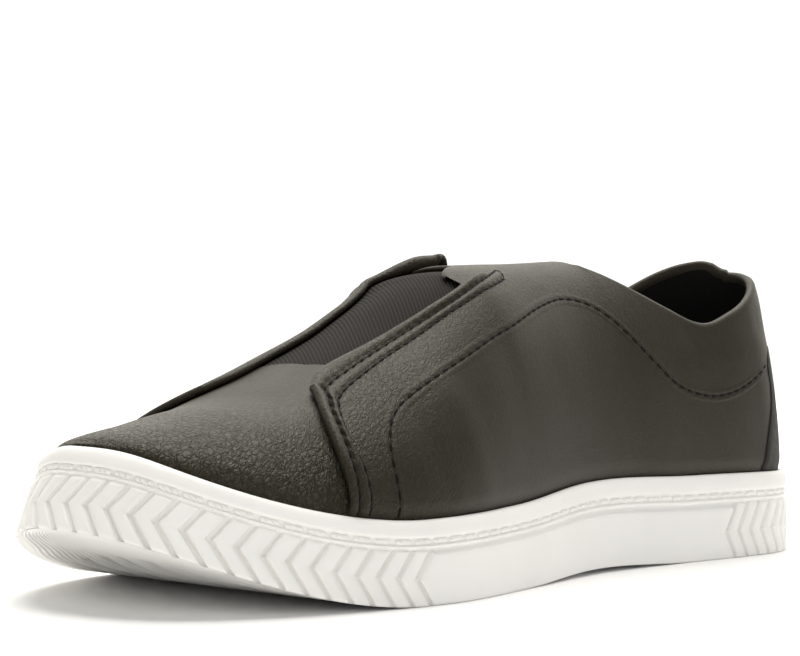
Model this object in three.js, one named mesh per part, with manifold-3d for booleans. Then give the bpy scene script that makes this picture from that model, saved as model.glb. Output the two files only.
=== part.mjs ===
// A low slip-on sneaker for the right foot: a cupsole with chevron blocks, a leather upper,
// an elastic gore over the instep, a heel patch and an insole.
// Millimetres, +X to the toe, +Y to the inner side of the foot, +Z up, floor at z = 0.
import * as THREE from 'three';
import { mergeVertices } from 'three/addons/utils/BufferGeometryUtils.js';
import Module from 'manifold-3d';

const wasm = await Module();
wasm.setup();

// Driving dimensions
const soleLength = 262;
const ballWidth = 91;
const heelWall = 22;
const toeSpring = 16.5;
const archRise = 1.2;
const collarHeight = 77;
const cupDepth = 8;
const rimWidth = 2.2;
const fit = 0.3;
const insoleThickness = 3;
const upperWall = 1.6;
const quarterRaise = 1.2;
const quarterRoot = 1.5;
const patchThickness = 0.9;
const goreThickness = 1.2;
const toeLean = 5.2;
const wallLean = 0.6;

// Outline and heights of the sole: one row for each section, at its share of soleLength.
// inner and outer are shares of ballWidth, wall is a share of heelWall.
const soleSections = [
  { at: 0.00, inner: 0.265, outer: 0.345, wall: 0.98 },
  { at: 0.14, inner: 0.292, outer: 0.366, wall: 1.00 },
  { at: 0.28, inner: 0.292, outer: 0.393, wall: 1.00 },
  { at: 0.42, inner: 0.312, outer: 0.433, wall: 0.96 },
  { at: 0.56, inner: 0.408, outer: 0.480, wall: 0.88 },
  { at: 0.70, inner: 0.497, outer: 0.502, wall: 0.83 },
  { at: 0.85, inner: 0.486, outer: 0.498, wall: 0.80 },
  { at: 1.00, inner: 0.466, outer: 0.474, wall: 0.75 },
];
const heelRound = 0.12;
const toeRound = 0.69;
const innerToePower = 3.0;
const outerToePower = 1.93;
const springStart = 0.74;
const springPower = 1.94;
const archCentre = 0.42;
const archSpread = 0.17;

// Sections of the upper, at shares of soleLength. crown is the height of its top line, or behind the
// throat the height where the section would close. innerCollar and outerCollar are the heights of its
// open edge on each side; all three are shares of collarHeight. inner and outer are the powers of the
// section's two halves: 1 is an ellipse, less is squarer. ridge is how far the crown lies to the inner
// side, as a share of ballWidth.
const upperSections = [
  { at: 0.00, crown: 1.30, innerCollar: 0.965, outerCollar: 0.965, inner: 0.90, outer: 0.90, ridge: 0.00 },
  { at: 0.01, crown: 1.30, innerCollar: 0.962, outerCollar: 1.020, inner: 0.95, outer: 0.95, ridge: 0.00 },
  { at: 0.045, crown: 1.27, innerCollar: 0.935, outerCollar: 1.000, inner: 0.98, outer: 0.98, ridge: 0.00 },
  { at: 0.09, crown: 1.22, innerCollar: 0.885, outerCollar: 0.935, inner: 0.95, outer: 0.92, ridge: 0.00 },
  { at: 0.15, crown: 1.13, innerCollar: 0.822, outerCollar: 0.860, inner: 0.85, outer: 0.85, ridge: 0.01 },
  { at: 0.21, crown: 1.06, innerCollar: 0.780, outerCollar: 0.810, inner: 0.84, outer: 0.84, ridge: 0.02 },
  { at: 0.27, crown: 1.02, innerCollar: 0.835, outerCollar: 0.850, inner: 0.84, outer: 0.86, ridge: 0.03 },
  { at: 0.34, crown: 0.98, innerCollar: 0.940, outerCollar: 0.930, inner: 0.84, outer: 0.88, ridge: 0.04 },
  { at: 0.42, crown: 0.958, innerCollar: 1.100, outerCollar: 1.100, inner: 0.84, outer: 0.92, ridge: 0.05 },
  { at: 0.48, crown: 0.948, innerCollar: 1.100, outerCollar: 1.100, inner: 0.84, outer: 0.76, ridge: 0.06 },
  { at: 0.55, crown: 0.930, innerCollar: 1.100, outerCollar: 1.100, inner: 0.84, outer: 0.76, ridge: 0.07 },
  { at: 0.61, crown: 0.850, innerCollar: 1.100, outerCollar: 1.100, inner: 0.87, outer: 0.97, ridge: 0.07 },
  { at: 0.66, crown: 0.760, innerCollar: 1.100, outerCollar: 1.100, inner: 0.91, outer: 1.06, ridge: 0.07 },
  { at: 0.71, crown: 0.685, innerCollar: 1.100, outerCollar: 1.100, inner: 0.95, outer: 1.02, ridge: 0.07 },
  { at: 0.80, crown: 0.570, innerCollar: 1.100, outerCollar: 1.100, inner: 1.00, outer: 1.02, ridge: 0.06 },
  { at: 0.89, crown: 0.488, innerCollar: 1.100, outerCollar: 1.100, inner: 0.94, outer: 0.96, ridge: 0.04 },
  { at: 0.95, crown: 0.446, innerCollar: 1.100, outerCollar: 1.100, inner: 0.88, outer: 0.90, ridge: 0.02 },
  { at: 1.00, crown: 0.441, innerCollar: 1.100, outerCollar: 1.100, inner: 0.85, outer: 0.85, ridge: 0.00 },
];
const throatAt = 0.372;
const heelLean = 11.5;
const heelHollow = 0.8;
const heelReach = 0.26;
const heelReachPower = 1.5;
const heelLeanPower = 1.7;
const liningDrop = 0.04;

// The opening for the gore, seen from above, as shares of soleLength and ballWidth.
const goreWindow = [
  { at: 0.545, across: 0.150 },
  { at: 0.560, across: 0.175 },
  { at: 0.720, across: 0.200 },
  { at: 0.735, across: 0.110 },
  { at: 0.741, across: 0.000 },
  { at: 0.735, across: -0.150 },
  { at: 0.720, across: -0.240 },
  { at: 0.560, across: -0.215 },
  { at: 0.545, across: -0.190 },
];

// Front edge of the quarters, seen from above, from the inner side over the flap corner to the gore.
const innerFlap = [
  { at: 0.845, across: 0.600 },
  { at: 0.838, across: 0.480 },
  { at: 0.825, across: 0.400 },
  { at: 0.805, across: 0.310 },
  { at: 0.780, across: 0.235 },
  { at: 0.765, across: 0.205 },
  { at: 0.755, across: 0.195 },
];
const outerShift = 0.035;
const outerFlap = innerFlap.map(({ at, across }) => ({ at, across: -across - outerShift }));

// Where the two flaps run back into the instep
const flapRoots = [
  { at: 0.725, across: 0.160 },
  { at: 0.700, across: 0.000 },
  { at: 0.725, across: -0.195 },
];

// Side view of the heel patch: its run along the sole, its top, the slant of its front edge and the
// size of its top corner
const patchRun = 31;
const patchTop = 57;
const patchSlant = 0.31;
const patchCorner = 8;

// Chevron blocks of the wall
const chevronPitch = 5.65;
const chevronGroove = 1.25;
const chevronDepth = 0.9;
const chevronReach = 4.5;
const chevronTip = 0.33;
const chevronTop = 0.645;
const chevronBottom = -0.06;
const frontChevronsFrom = 0.757;
const heelChevronsTo = 0.20;

// Profile of the sole's wall from the floor up: level is a share of the wall's height, inset in mm.
// Above the chevrons come a narrow step, a thin ridge, the groove for the stitches and a round rim.
const wallProfile = [
  { level: 0, inset: 0.5 },
  { level: 0.045, inset: 0 },
  { level: chevronTop, inset: 0 },
  { level: chevronTop + 0.005, inset: 0.8 },
  { level: 0.67, inset: 0.8 },
  { level: 0.68, inset: 0.3 },
  { level: 0.705, inset: 0.3 },
  { level: 0.715, inset: 0.9 },
  { level: 0.785, inset: 0.9 },
  { level: 0.8, inset: 0.15 },
  { level: 0.88, inset: 0 },
  { level: 0.96, inset: 0.3 },
  { level: 1, inset: 1 },
];

// Grooves of the underside: their number, ends and how much shorter the outer ones are, as shares of
// soleLength
const treadDepth = 1.2;
const treadGroove = 3.2;
const treadBorder = 7;
const treadWave = 1.0;
const treadWaveLength = 22;
const treadGroups = [
  { count: 7, from: 0.585, to: 0.945, shorter: 0.065 },
  { count: 5, from: 0.045, to: 0.27, shorter: 0.02 },
];

// Steps of the faceted surfaces
const rearStations = 12;
const frontStations = 20;
const throatStations = [0.055, 0.032, 0.016, 0.006];
const sectionSteps = 8;
const treadSteps = 7;
const cutMargin = 2;

// A smooth curve through one column of a table
function column(table, name, at) {
  let i = 0;
  while (i < table.length - 2 && at > table[i + 1].at) i += 1;
  const slope = (k) => {
    const a = table[Math.max(k - 1, 0)];
    const b = table[Math.min(k + 1, table.length - 1)];
    return (b[name] - a[name]) / (b.at - a.at);
  };
  const [a, b] = [table[i], table[i + 1]];
  const span = b.at - a.at;
  const t = Math.min(Math.max((at - a.at) / span, 0), 1);
  const t2 = t * t;
  const t3 = t2 * t;
  return (2 * t3 - 3 * t2 + 1) * a[name] + (t3 - 2 * t2 + t) * span * slope(i)
    + (3 * t2 - 2 * t3) * b[name] + (t3 - t2) * span * slope(i + 1);
}

const clamp01 = (t) => Math.min(Math.max(t, 0), 1);

// Half width of the sole on one side at a share of its length
function halfWidth(at, inner) {
  const width = ballWidth * column(soleSections, inner ? 'inner' : 'outer', at);
  if (at < heelRound) return width * Math.sqrt(clamp01(1 - (1 - at / heelRound) ** 2));
  if (at <= toeRound) return width;
  const power = inner ? innerToePower : outerToePower;
  return width * clamp01(1 - ((at - toeRound) / (1 - toeRound)) ** power) ** (1 / power);
}

const underside = (at) => toeSpring * clamp01((at - springStart) / (1 - springStart)) ** springPower
  + archRise * clamp01(1 - ((at - archCentre) / archSpread) ** 2) ** 2;
const wallHeight = (at) => heelWall * column(soleSections, 'wall', at);
const leanAt = (at) => wallLean + toeLean * clamp01((at - toeRound) / (1 - toeRound)) ** 2;

// Stations along the foot, close together at both ends. A turn of 0 is the heel, 1 the toe.
const shareAt = (turn) => (1 - Math.cos(Math.PI * turn)) / 2;

// Point of the sole's outline, moved inwards by inset; turn runs 0 to 1 on the inner side and
// on to 2 around the toe and back along the outer side.
function outlinePoint(turn, inset) {
  const plain = (t) => {
    const wrapped = ((t % 2) + 2) % 2;
    const inner = wrapped <= 1;
    const at = shareAt(inner ? wrapped : 2 - wrapped);
    return new THREE.Vector2(at * soleLength, (inner ? 1 : -1) * halfWidth(at, inner));
  };
  const step = 0.004;
  const here = plain(turn);
  const along = plain(turn + step).sub(plain(turn - step)).normalize();
  return here.addScaledVector(new THREE.Vector2(along.y, -along.x), inset);
}

const shareOfTurn = (turn) => {
  const wrapped = ((turn % 2) + 2) % 2;
  return shareAt(wrapped <= 1 ? wrapped : 2 - wrapped);
};

// Point of the sole's wall at a share of its height
function wallPoint(turn, level, inset) {
  const at = shareOfTurn(turn);
  const plan = outlinePoint(turn, inset + leanAt(at) * level);
  return new THREE.Vector3(plan.x, plan.y, underside(at) + level * wallHeight(at));
}

// A closed solid from triangles
function solidOf(points, triangles) {
  const geometry = new THREE.BufferGeometry();
  const places = points.flatMap((p) => [p.x, p.y, p.z]);
  geometry.setAttribute('position', new THREE.Float32BufferAttribute(places, 3));
  geometry.setIndex(triangles);
  const merged = mergeVertices(geometry, 1e-4);
  const index = merged.getIndex().array;
  const kept = [];
  for (let i = 0; i < index.length; i += 3) {
    const [a, b, c] = [index[i], index[i + 1], index[i + 2]];
    if (a !== b && b !== c && a !== c) kept.push(a, b, c);
  }
  return new wasm.Manifold(new wasm.Mesh({
    numProp: 3,
    vertProperties: new Float32Array(merged.getAttribute('position').array),
    triVerts: new Uint32Array(kept),
  }));
}

// A solid of closed rings, each joined to the next, with both ends filled across the foot
function ringSolid(rings) {
  const count = rings[0].length;
  const points = rings.flat();
  const triangles = [];
  const quad = (a, b, c, d) => triangles.push(a, b, c, a, c, d);
  for (let r = 0; r + 1 < rings.length; r += 1) {
    for (let k = 0; k < count; k += 1) {
      const next = (k + 1) % count;
      quad(r * count + k, (r + 1) * count + k, (r + 1) * count + next, r * count + next);
    }
  }
  const last = (rings.length - 1) * count;
  for (let k = 0; k < count / 2; k += 1) {
    const far = (count - k) % count;
    const farNext = count - k - 1;
    quad(k, k + 1, farNext, far);
    quad(last + far, last + farNext, last + k + 1, last + k);
  }
  return solidOf(points, triangles);
}

// The stations that every piece shares, with more of them close to the throat
const turnOfShare = (at) => Math.acos(1 - 2 * at) / Math.PI;
const stations = (() => {
  const spread = (from, to, count) => (
    Array.from({ length: count }, (_, k) => from + ((to - from) * k) / count));
  const throat = turnOfShare(throatAt);
  const near = throat - throatStations[0];
  const side = [...spread(0, near, rearStations), ...throatStations.map((back) => throat - back),
    ...spread(throat, 1, frontStations)];
  return [...side, 1, ...side.slice(1).reverse().map((turn) => 2 - turn)];
})();
const ringAt = (level, inset) => stations.map((turn) => wallPoint(turn, level, inset));

// Height of the floor of the cup at a turn
const cupLevel = (turn) => {
  const at = shareOfTurn(turn);
  return underside(at) + wallHeight(at) - cupDepth;
};
const flatRing = (inset, lift) => stations.map((turn) => {
  const at = shareOfTurn(turn);
  const plan = outlinePoint(turn, inset + leanAt(at));
  return new THREE.Vector3(plan.x, plan.y, cupLevel(turn) + lift);
});

// A prism between two copies of an outline
function prism(loop, place) {
  const flat = loop.map(([a, b]) => new THREE.Vector2(a, b));
  if (THREE.ShapeUtils.isClockWise(flat)) flat.reverse();
  const faces = THREE.ShapeUtils.triangulateShape(flat, []);
  const count = loop.length;
  const points = [...flat.map((p) => place(p.x, p.y, 0)), ...flat.map((p) => place(p.x, p.y, 1))];
  const triangles = [];
  for (const [a, b, c] of faces) triangles.push(a, c, b, count + a, count + b, count + c);
  for (let k = 0; k < count; k += 1) {
    const next = (k + 1) % count;
    triangles.push(k, next, count + next, k, count + next, count + k);
  }
  return solidOf(points, triangles);
}

// Length along the outline, to space the chevrons evenly
const traceSteps = 1600;
const trace = [0];
for (let k = 1; k <= traceSteps; k += 1) {
  const step = outlinePoint((2 * k) / traceSteps, 0).distanceTo(outlinePoint((2 * (k - 1)) / traceSteps, 0));
  trace.push(trace[k - 1] + step);
}
const outlineLength = trace[traceSteps];
function turnAtLength(length) {
  const wanted = ((length % outlineLength) + outlineLength) % outlineLength;
  let k = 1;
  while (trace[k] < wanted) k += 1;
  return (2 * (k - 1 + (wanted - trace[k - 1]) / (trace[k] - trace[k - 1]))) / traceSteps;
}
const lengthAtTurn = (turn) => trace[Math.round((turn / 2) * traceSteps)];

// One V-shaped groove of the wall, its tip at a length along the outline
function chevronCut(tip) {
  const half = chevronGroove / 2;
  const top = tip - chevronReach;
  const foot = tip - chevronReach * (1 - chevronBottom / chevronTip);
  const loop = [
    [tip + half, chevronTip], [top + half, chevronTop], [top - half, chevronTop],
    [tip - half, chevronTip], [foot - half, chevronBottom], [foot + half, chevronBottom],
  ];
  return prism(loop, (length, level, layer) => (
    wallPoint(turnAtLength(length), level, layer ? chevronDepth : -cutMargin)));
}

function chevronTips() {
  const tips = [];
  const front = lengthAtTurn(turnOfShare(frontChevronsFrom));
  const heel = lengthAtTurn(turnOfShare(heelChevronsTo));
  const frontCount = Math.round((outlineLength - 2 * front) / chevronPitch);
  for (let k = 0; k <= frontCount; k += 1) tips.push(front + k * chevronPitch);
  const heelCount = Math.round((2 * heel) / chevronPitch);
  for (let k = 0; k <= heelCount; k += 1) tips.push(heel - k * chevronPitch);
  return tips;
}

// A bar through sections of four corners each
function barSolid(sections) {
  const triangles = [];
  const quad = (a, b, c, d) => triangles.push(a, b, c, a, c, d);
  const last = (sections.length - 1) * 4;
  for (let i = 0; i < last; i += 4) {
    for (let k = 0; k < 4; k += 1) {
      const next = (k + 1) % 4;
      quad(i + k, i + next, i + 4 + next, i + 4 + k);
    }
  }
  quad(3, 2, 1, 0);
  quad(last, last + 1, last + 2, last + 3);
  return solidOf(sections.flat(), triangles);
}

// One lengthwise wavy groove of the tread, from one share of the length to another
function treadCut(across, from, to) {
  const half = treadGroove / 2;
  return barSolid(Array.from({ length: treadSteps + 1 }, (_, k) => {
    const at = from + ((to - from) * k) / treadSteps;
    const x = at * soleLength;
    const reach = (halfWidth(at, true) + halfWidth(at, false)) / 2 - treadBorder;
    const centre = (halfWidth(at, true) - halfWidth(at, false)) / 2;
    const y = centre + across * reach + treadWave * Math.sin((2 * Math.PI * x) / treadWaveLength);
    const z = underside(at);
    const corners = [[half, -cutMargin], [half, treadDepth], [-half, treadDepth], [-half, -cutMargin]];
    return corners.map(([dy, dz]) => new THREE.Vector3(x, y + dy, z + dz));
  }));
}

function soleSolid() {
  const body = ringSolid([
    ...wallProfile.map(({ level, inset }) => ringAt(level, inset)), flatRing(rimWidth, cupDepth),
    flatRing(rimWidth, 0),
  ]);
  const cuts = chevronTips().map(chevronCut);
  for (const { count, from, to, shorter } of treadGroups) {
    for (let k = 0; k < count; k += 1) {
      const across = ((k + 0.5) / count) * 2 - 1;
      const short = shorter * across * across;
      cuts.push(treadCut(across, from + short, to - short));
    }
  }
  return wasm.Manifold.difference([body, ...cuts]);
}

// The upper's own function: a point of its outer skin at a turn and a rise from the rim, 0 to 1,
// to the collar or the crown. A rise below 0 goes down into the cup.
const upperInset = rimWidth + fit;
function skinPoint(turn, rise) {
  const at = shareOfTurn(turn);
  const base = outlinePoint(turn, upperInset + leanAt(at));
  const rim = underside(at) + wallHeight(at);
  if (rise < 0) return new THREE.Vector3(base.x, base.y, rim + rise * (cupDepth - fit));
  const crown = collarHeight * column(upperSections, 'crown', at);
  const side = ((turn % 2) + 2) % 2 <= 1 ? 'inner' : 'outer';
  const collar = collarHeight * column(upperSections, `${side}Collar`, at);
  const power = column(upperSections, side, at);
  const reach = at < throatAt ? clamp01((collar - rim) / (crown - rim)) : 1;
  const open = Math.asin(Math.min(reach, 1) ** (1 / power));
  const angle = rise * open;
  const up = Math.sin(angle) ** power;
  const out = Math.max(Math.cos(angle), 0) ** power;
  const middle = outlinePoint(2 - turn, upperInset + leanAt(at)).add(base).multiplyScalar(0.5);
  middle.y += ballWidth * column(upperSections, 'ridge', at);
  const height = rim + up * (crown - rim);
  const backness = clamp01(1 - at / heelReach) ** heelReachPower;
  const climb = clamp01((height - rim) / (collarHeight - heelWall));
  const lean = heelLean * climb ** heelLeanPower + heelHollow * Math.sin(Math.PI * climb);
  const plan = middle.lerp(base, out);
  return new THREE.Vector3(plan.x + backness * lean, plan.y, height);
}

// A sheet of the upper between two offsets of its skin. start is the rise of its lower edge and lift
// how far that edge stands over the rim; collarDrop keeps its collar edge back from the finished one.
function skinSolid({ outer, inner, start, lift, collarDrop }) {
  const open = stations.map((turn) => shareOfTurn(turn) < throatAt + (collarDrop > 0 ? 1e-9 : -1e-9));
  const steps = Array.from({ length: sectionSteps + 1 }, (_, j) => j / sectionSteps);
  const rises = start < 0 ? [start, ...steps] : steps;
  const count = stations.length;
  const grid = stations.map((turn, k) => rises.map((rise) => {
    const point = skinPoint(turn, rise > 0 && open[k] ? rise * (1 - collarDrop) : rise);
    if (rise === 0) point.z += lift;
    return point;
  }));
  const last = rises.length - 1;
  const mirror = (k) => (count - k) % count;
  const facing = (k, j, ridge) => {
    const along = grid[(k + 1) % count][j].clone().sub(grid[(k + count - 1) % count][j]);
    const upper = ridge ? grid[mirror(k)][last - 1] : grid[k][Math.min(j + 1, last)];
    const lower = grid[k][ridge ? last - 1 : Math.max(j - 1, 0)];
    return upper.clone().sub(lower).cross(along).normalize();
  };
  const normalAt = (k, j) => {
    const ridge = j === last && !open[k] && mirror(k) !== k;
    const normal = ridge ? facing(k, j, true).add(facing(mirror(k), j, true)) : facing(k, j, false);
    return (rises[j] <= 0 ? normal.setZ(0) : normal).normalize();
  };
  const layer = (offset) => grid.flatMap((row, k) => row.map((point, j) => (
    point.clone().addScaledVector(normalAt(k, j), offset))));
  const size = count * rises.length;
  const id = (k, j, side) => (k % count) * rises.length + j + side * size;
  const triangles = [];
  const quad = (a, b, c, d) => triangles.push(a, b, c, a, c, d);
  for (let k = 0; k < count; k += 1) {
    for (let j = 0; j < last; j += 1) {
      quad(id(k, j, 0), id(k, j + 1, 0), id(k + 1, j + 1, 0), id(k + 1, j, 0));
      quad(id(k, j, 1), id(k + 1, j, 1), id(k + 1, j + 1, 1), id(k, j + 1, 1));
    }
    quad(id(k, 0, 0), id(k + 1, 0, 0), id(k + 1, 0, 1), id(k, 0, 1));
    if (open[k] || open[(k + 1) % count]) {
      quad(id(k, last, 0), id(k, last, 1), id(k + 1, last, 1), id(k + 1, last, 0));
    }
  }
  return solidOf([...layer(outer), ...layer(inner)], triangles);
}

const planOf = (rows) => rows.map(({ at, across }) => [at * soleLength, across * ballWidth]);
const standing = (x, y, layer) => new THREE.Vector3(x, y, layer ? 2 * collarHeight : -cutMargin);
const sideways = (x, z, layer) => new THREE.Vector3(x, layer ? -ballWidth : ballWidth, z);

// The gore's opening, made smaller all round by a gap
function windowPrism(gap) {
  const loop = planOf(goreWindow);
  const centreX = loop.reduce((sum, [x]) => sum + x, 0) / loop.length;
  const centreY = loop.reduce((sum, [, y]) => sum + y, 0) / loop.length;
  const halfX = (Math.max(...loop.map(([x]) => x)) - Math.min(...loop.map(([x]) => x))) / 2;
  const halfY = (Math.max(...loop.map(([, y]) => y)) - Math.min(...loop.map(([, y]) => y))) / 2;
  return prism(loop.map(([x, y]) => [
    centreX + (x - centreX) * (1 - gap / halfX), centreY + (y - centreY) * (1 - gap / halfY)]), standing);
}

// Everything in front of the quarters: the vamp's share of the top view
function vampPrism() {
  const front = soleLength + cutMargin;
  return prism([
    ...planOf(innerFlap), ...planOf(flapRoots), ...planOf(outerFlap).reverse(),
    [front, -ballWidth], [front, ballWidth],
  ], standing);
}

// Side view of the heel patch, made larger by a gap
function patchPrism(gap) {
  const foot = patchRun + gap;
  const top = patchTop + gap;
  const cut = 0.3 * patchCorner;
  const slope = (z) => foot - patchSlant * (z - heelWall);
  return prism([
    [-cutMargin, -cutMargin], [foot, -cutMargin], [foot, heelWall],
    [slope(top - patchCorner), top - patchCorner], [slope(top - cut) - cut, top - cut],
    [slope(top) - patchCorner, top], [-cutMargin, top],
  ], sideways);
}

function meshOf(solid, name, colour, roughness) {
  const mesh = solid.getMesh();
  const geometry = new THREE.BufferGeometry();
  geometry.setAttribute('position', new THREE.BufferAttribute(new Float32Array(mesh.vertProperties), 3));
  geometry.setIndex(new THREE.BufferAttribute(new Uint32Array(mesh.triVerts), 1));
  const material = new THREE.MeshStandardMaterial({ color: colour, roughness, metalness: 0 });
  const result = new THREE.Mesh(geometry, material);
  result.name = name;
  return result;
}

const goreDepth = fit / 2;
const vampAndLining = skinSolid({
  outer: 0, inner: -upperWall, start: -1, lift: 0, collarDrop: liningDrop,
});
const quarters = skinSolid({
  outer: quarterRaise, inner: -quarterRoot, start: 0, lift: fit, collarDrop: 0,
}).subtract(vampPrism()).subtract(patchPrism(fit));
const upper = vampAndLining.add(quarters).subtract(windowPrism(0));
const gore = skinSolid({
  outer: -goreDepth, inner: -goreDepth - goreThickness, start: 0, lift: fit, collarDrop: 0,
}).intersect(windowPrism(fit));
const patch = skinSolid({
  outer: fit + patchThickness, inner: fit, start: 0, lift: fit, collarDrop: 0,
}).intersect(patchPrism(0));
const insoleInset = upperInset + upperWall + fit;
const insole = ringSolid([flatRing(insoleInset, fit), flatRing(insoleInset, fit + insoleThickness)]);

const sneaker = new THREE.Group();
sneaker.add(meshOf(soleSolid(), 'sole', 0xe9e7df, 0.5));
sneaker.add(meshOf(upper, 'upper', 0x45423c, 0.55));
sneaker.add(meshOf(gore, 'elastic_gore', 0x2b2723, 0.9));
sneaker.add(meshOf(patch, 'heel_patch', 0x4a4743, 0.7));
sneaker.add(meshOf(insole, 'insole', 0x171615, 0.9));

const box = new THREE.Box3().setFromObject(sneaker);
sneaker.position.set(-(box.min.x + box.max.x) / 2, -(box.min.y + box.max.y) / 2, -box.min.z);
sneaker.updateMatrixWorld(true);

export default sneaker;
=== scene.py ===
"""A low slip-on sneaker for the right foot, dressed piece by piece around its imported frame."""
import math

import bmesh
import bpy
import numpy as np
from bpy.props import FloatProperty, FloatVectorProperty, PointerProperty
from mathutils import Matrix, Vector
from mathutils.kdtree import KDTree


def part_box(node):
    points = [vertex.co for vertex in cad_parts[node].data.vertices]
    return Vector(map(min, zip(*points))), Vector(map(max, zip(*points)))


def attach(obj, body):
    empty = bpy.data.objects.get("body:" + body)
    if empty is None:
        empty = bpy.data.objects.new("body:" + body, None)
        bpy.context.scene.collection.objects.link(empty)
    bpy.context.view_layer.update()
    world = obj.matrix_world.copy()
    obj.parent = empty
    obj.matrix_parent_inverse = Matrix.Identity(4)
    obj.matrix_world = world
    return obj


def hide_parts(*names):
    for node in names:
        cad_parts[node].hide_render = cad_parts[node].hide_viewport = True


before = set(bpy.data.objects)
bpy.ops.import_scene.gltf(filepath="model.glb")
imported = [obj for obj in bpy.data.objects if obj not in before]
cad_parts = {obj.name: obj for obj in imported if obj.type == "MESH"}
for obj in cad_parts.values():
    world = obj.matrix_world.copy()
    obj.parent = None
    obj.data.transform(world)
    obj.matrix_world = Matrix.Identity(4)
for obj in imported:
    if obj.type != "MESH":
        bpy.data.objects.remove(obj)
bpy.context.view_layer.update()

bl_info = {
    "name": "Slip-on Sneaker",
    "version": (1, 0, 0),
    "blender": (4, 5, 0),
    "location": "View3D > Sidebar > Sneaker",
    "description": "Models a slip-on sneaker with a cupsole, an elastic gore and stitched quarters",
    "category": "Mesh",
}

MM = 0.001


# Sizes and colours
def length(name, description, default):
    """A size in metres that a user may change"""
    return FloatProperty(
        name=name, description=description, default=default, subtype="DISTANCE", unit="LENGTH")


def heading(name, description, degrees):
    """An angle that a user may change, given in degrees"""
    return FloatProperty(name=name, description=description, default=math.radians(degrees), unit="ROTATION")


def colour(name, description, default):
    """A colour that a user may change"""
    return FloatVectorProperty(name=name, description=description, default=default, subtype="COLOR", size=3)


class ShoeSizes(bpy.types.PropertyGroup):
    """Driving sizes of the sneaker"""
    sole_length: length("Sole length", "From the back of the heel to the toe", 0.262)
    ball_width: length("Ball width", "Widest part of the sole", 0.091)
    heel_wall: length("Heel wall", "Height of the sole's wall at the heel", 0.022)
    toe_spring: length("Toe spring", "How far the toe is off the floor", 0.0165)
    arch_rise: length("Arch rise", "How far the arch is off the floor", 0.0012)
    collar_height: length("Collar height", "Height that the sections of the upper are shares of", 0.077)
    cup_depth: length("Cup depth", "From the rim down to the floor of the cup", 0.008)
    rim_width: length("Rim width", "Width of the sole's rim", 0.0022)
    fit: length("Fit", "Gap between neighbouring pieces", 0.0003)
    upper_wall: length("Upper wall", "Thickness of the vamp and the lining", 0.0016)
    quarter_raise: length("Quarter raise", "Thickness of the quarters over the vamp", 0.0012)
    insole_thickness: length("Insole thickness", "Thickness of the footbed", 0.003)
    toe_lean: length("Toe lean", "How far the wall leans back at the toe", 0.0052)
    wall_lean: length("Wall lean", "How far the wall leans in", 0.0006)
    chevron_pitch: length("Chevron pitch", "From one chevron to the next", 0.00565)
    chevron_depth: length("Chevron depth", "Depth of the grooves between chevrons", 0.0013)
    chevron_reach: length("Chevron reach", "How far the arms of a chevron run back", 0.0045)
    tread_depth: length("Tread depth", "Depth of the grooves of the tread", 0.0012)
    stitch_length: length("Stitch length", "Length of one stitch of the hems", 0.0031)
    collar_roll: length("Collar roll", "Radius of the rounded collar edge", 0.0013)
    flap_roll: length("Flap roll", "Radius of the folded edge of the flaps", 0.00085)
    flap_curl: length("Flap curl", "How far the outer flap's end stands up", 0.0034)
    seam_stitch: length("Seam stitch", "Length of one stitch of the decorative seam", 0.0036)


class ShoeColours(bpy.types.PropertyGroup):
    """Colours of the sneaker's materials"""
    leather: colour("Leather", "Vamp and quarters", (0.0218, 0.0186, 0.0118))
    edge: colour("Leather edge", "Folded and cut edges", (0.012, 0.011, 0.009))
    gore: colour("Gore", "Elastic over the instep", (0.0120, 0.0096, 0.0074))
    lining: colour("Lining", "Lining and insole", (0.0060, 0.0055, 0.0052))
    thread: colour("Thread", "Stitches", (0.0065, 0.006, 0.0055))
    rubber: colour("Rubber", "Cupsole", (0.93, 0.92, 0.895))
    patch: colour("Heel patch", "Leather of the heel patch", (0.058, 0.054, 0.049))


class StudioSizes(bpy.types.PropertyGroup):
    """Camera of the studio"""
    lens: FloatProperty(name="Lens", description="Focal length in mm", default=105.75, min=20)
    ahead: length("Ahead", "From the back of the heel to the camera, along the shoe", 0.5718)
    aside: length("Aside", "From the middle of the shoe to the camera, across the shoe", 0.36273)
    above: length("Above", "Height of the camera over the floor", 0.05781)
    yaw: heading("Yaw", "Heading of the camera", -139.056)
    pitch: heading("Pitch", "Tilt of the camera", 0.054)
    roll: heading("Roll", "Roll of the camera", 1.183)


# Tables of the shoe: one row for each section, at its share of the sole's length
def table(names, rows):
    """Turns rows into one array for each named column"""
    return {name: np.array([row[k] for row in rows], float) for k, name in enumerate(names)}


# inner and outer half widths are shares of the ball width, wall is a share of the heel wall
SOLE = table(("at", "inner", "outer", "wall"), (
    (0.00, 0.265, 0.345, 0.98),
    (0.14, 0.292, 0.366, 1.00),
    (0.28, 0.292, 0.393, 1.00),
    (0.42, 0.312, 0.433, 0.96),
    (0.56, 0.408, 0.480, 0.88),
    (0.70, 0.497, 0.502, 0.83),
    (0.85, 0.486, 0.498, 0.80),
    (1.00, 0.466, 0.474, 0.75),
))
HEEL_ROUND = 0.12
TOE_ROUND = 0.69
INNER_TOE_POWER = 3.0
OUTER_TOE_POWER = 1.93
SPRING_START = 0.74
SPRING_POWER = 1.94
ARCH_CENTRE = 0.42
ARCH_SPREAD = 0.17

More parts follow.
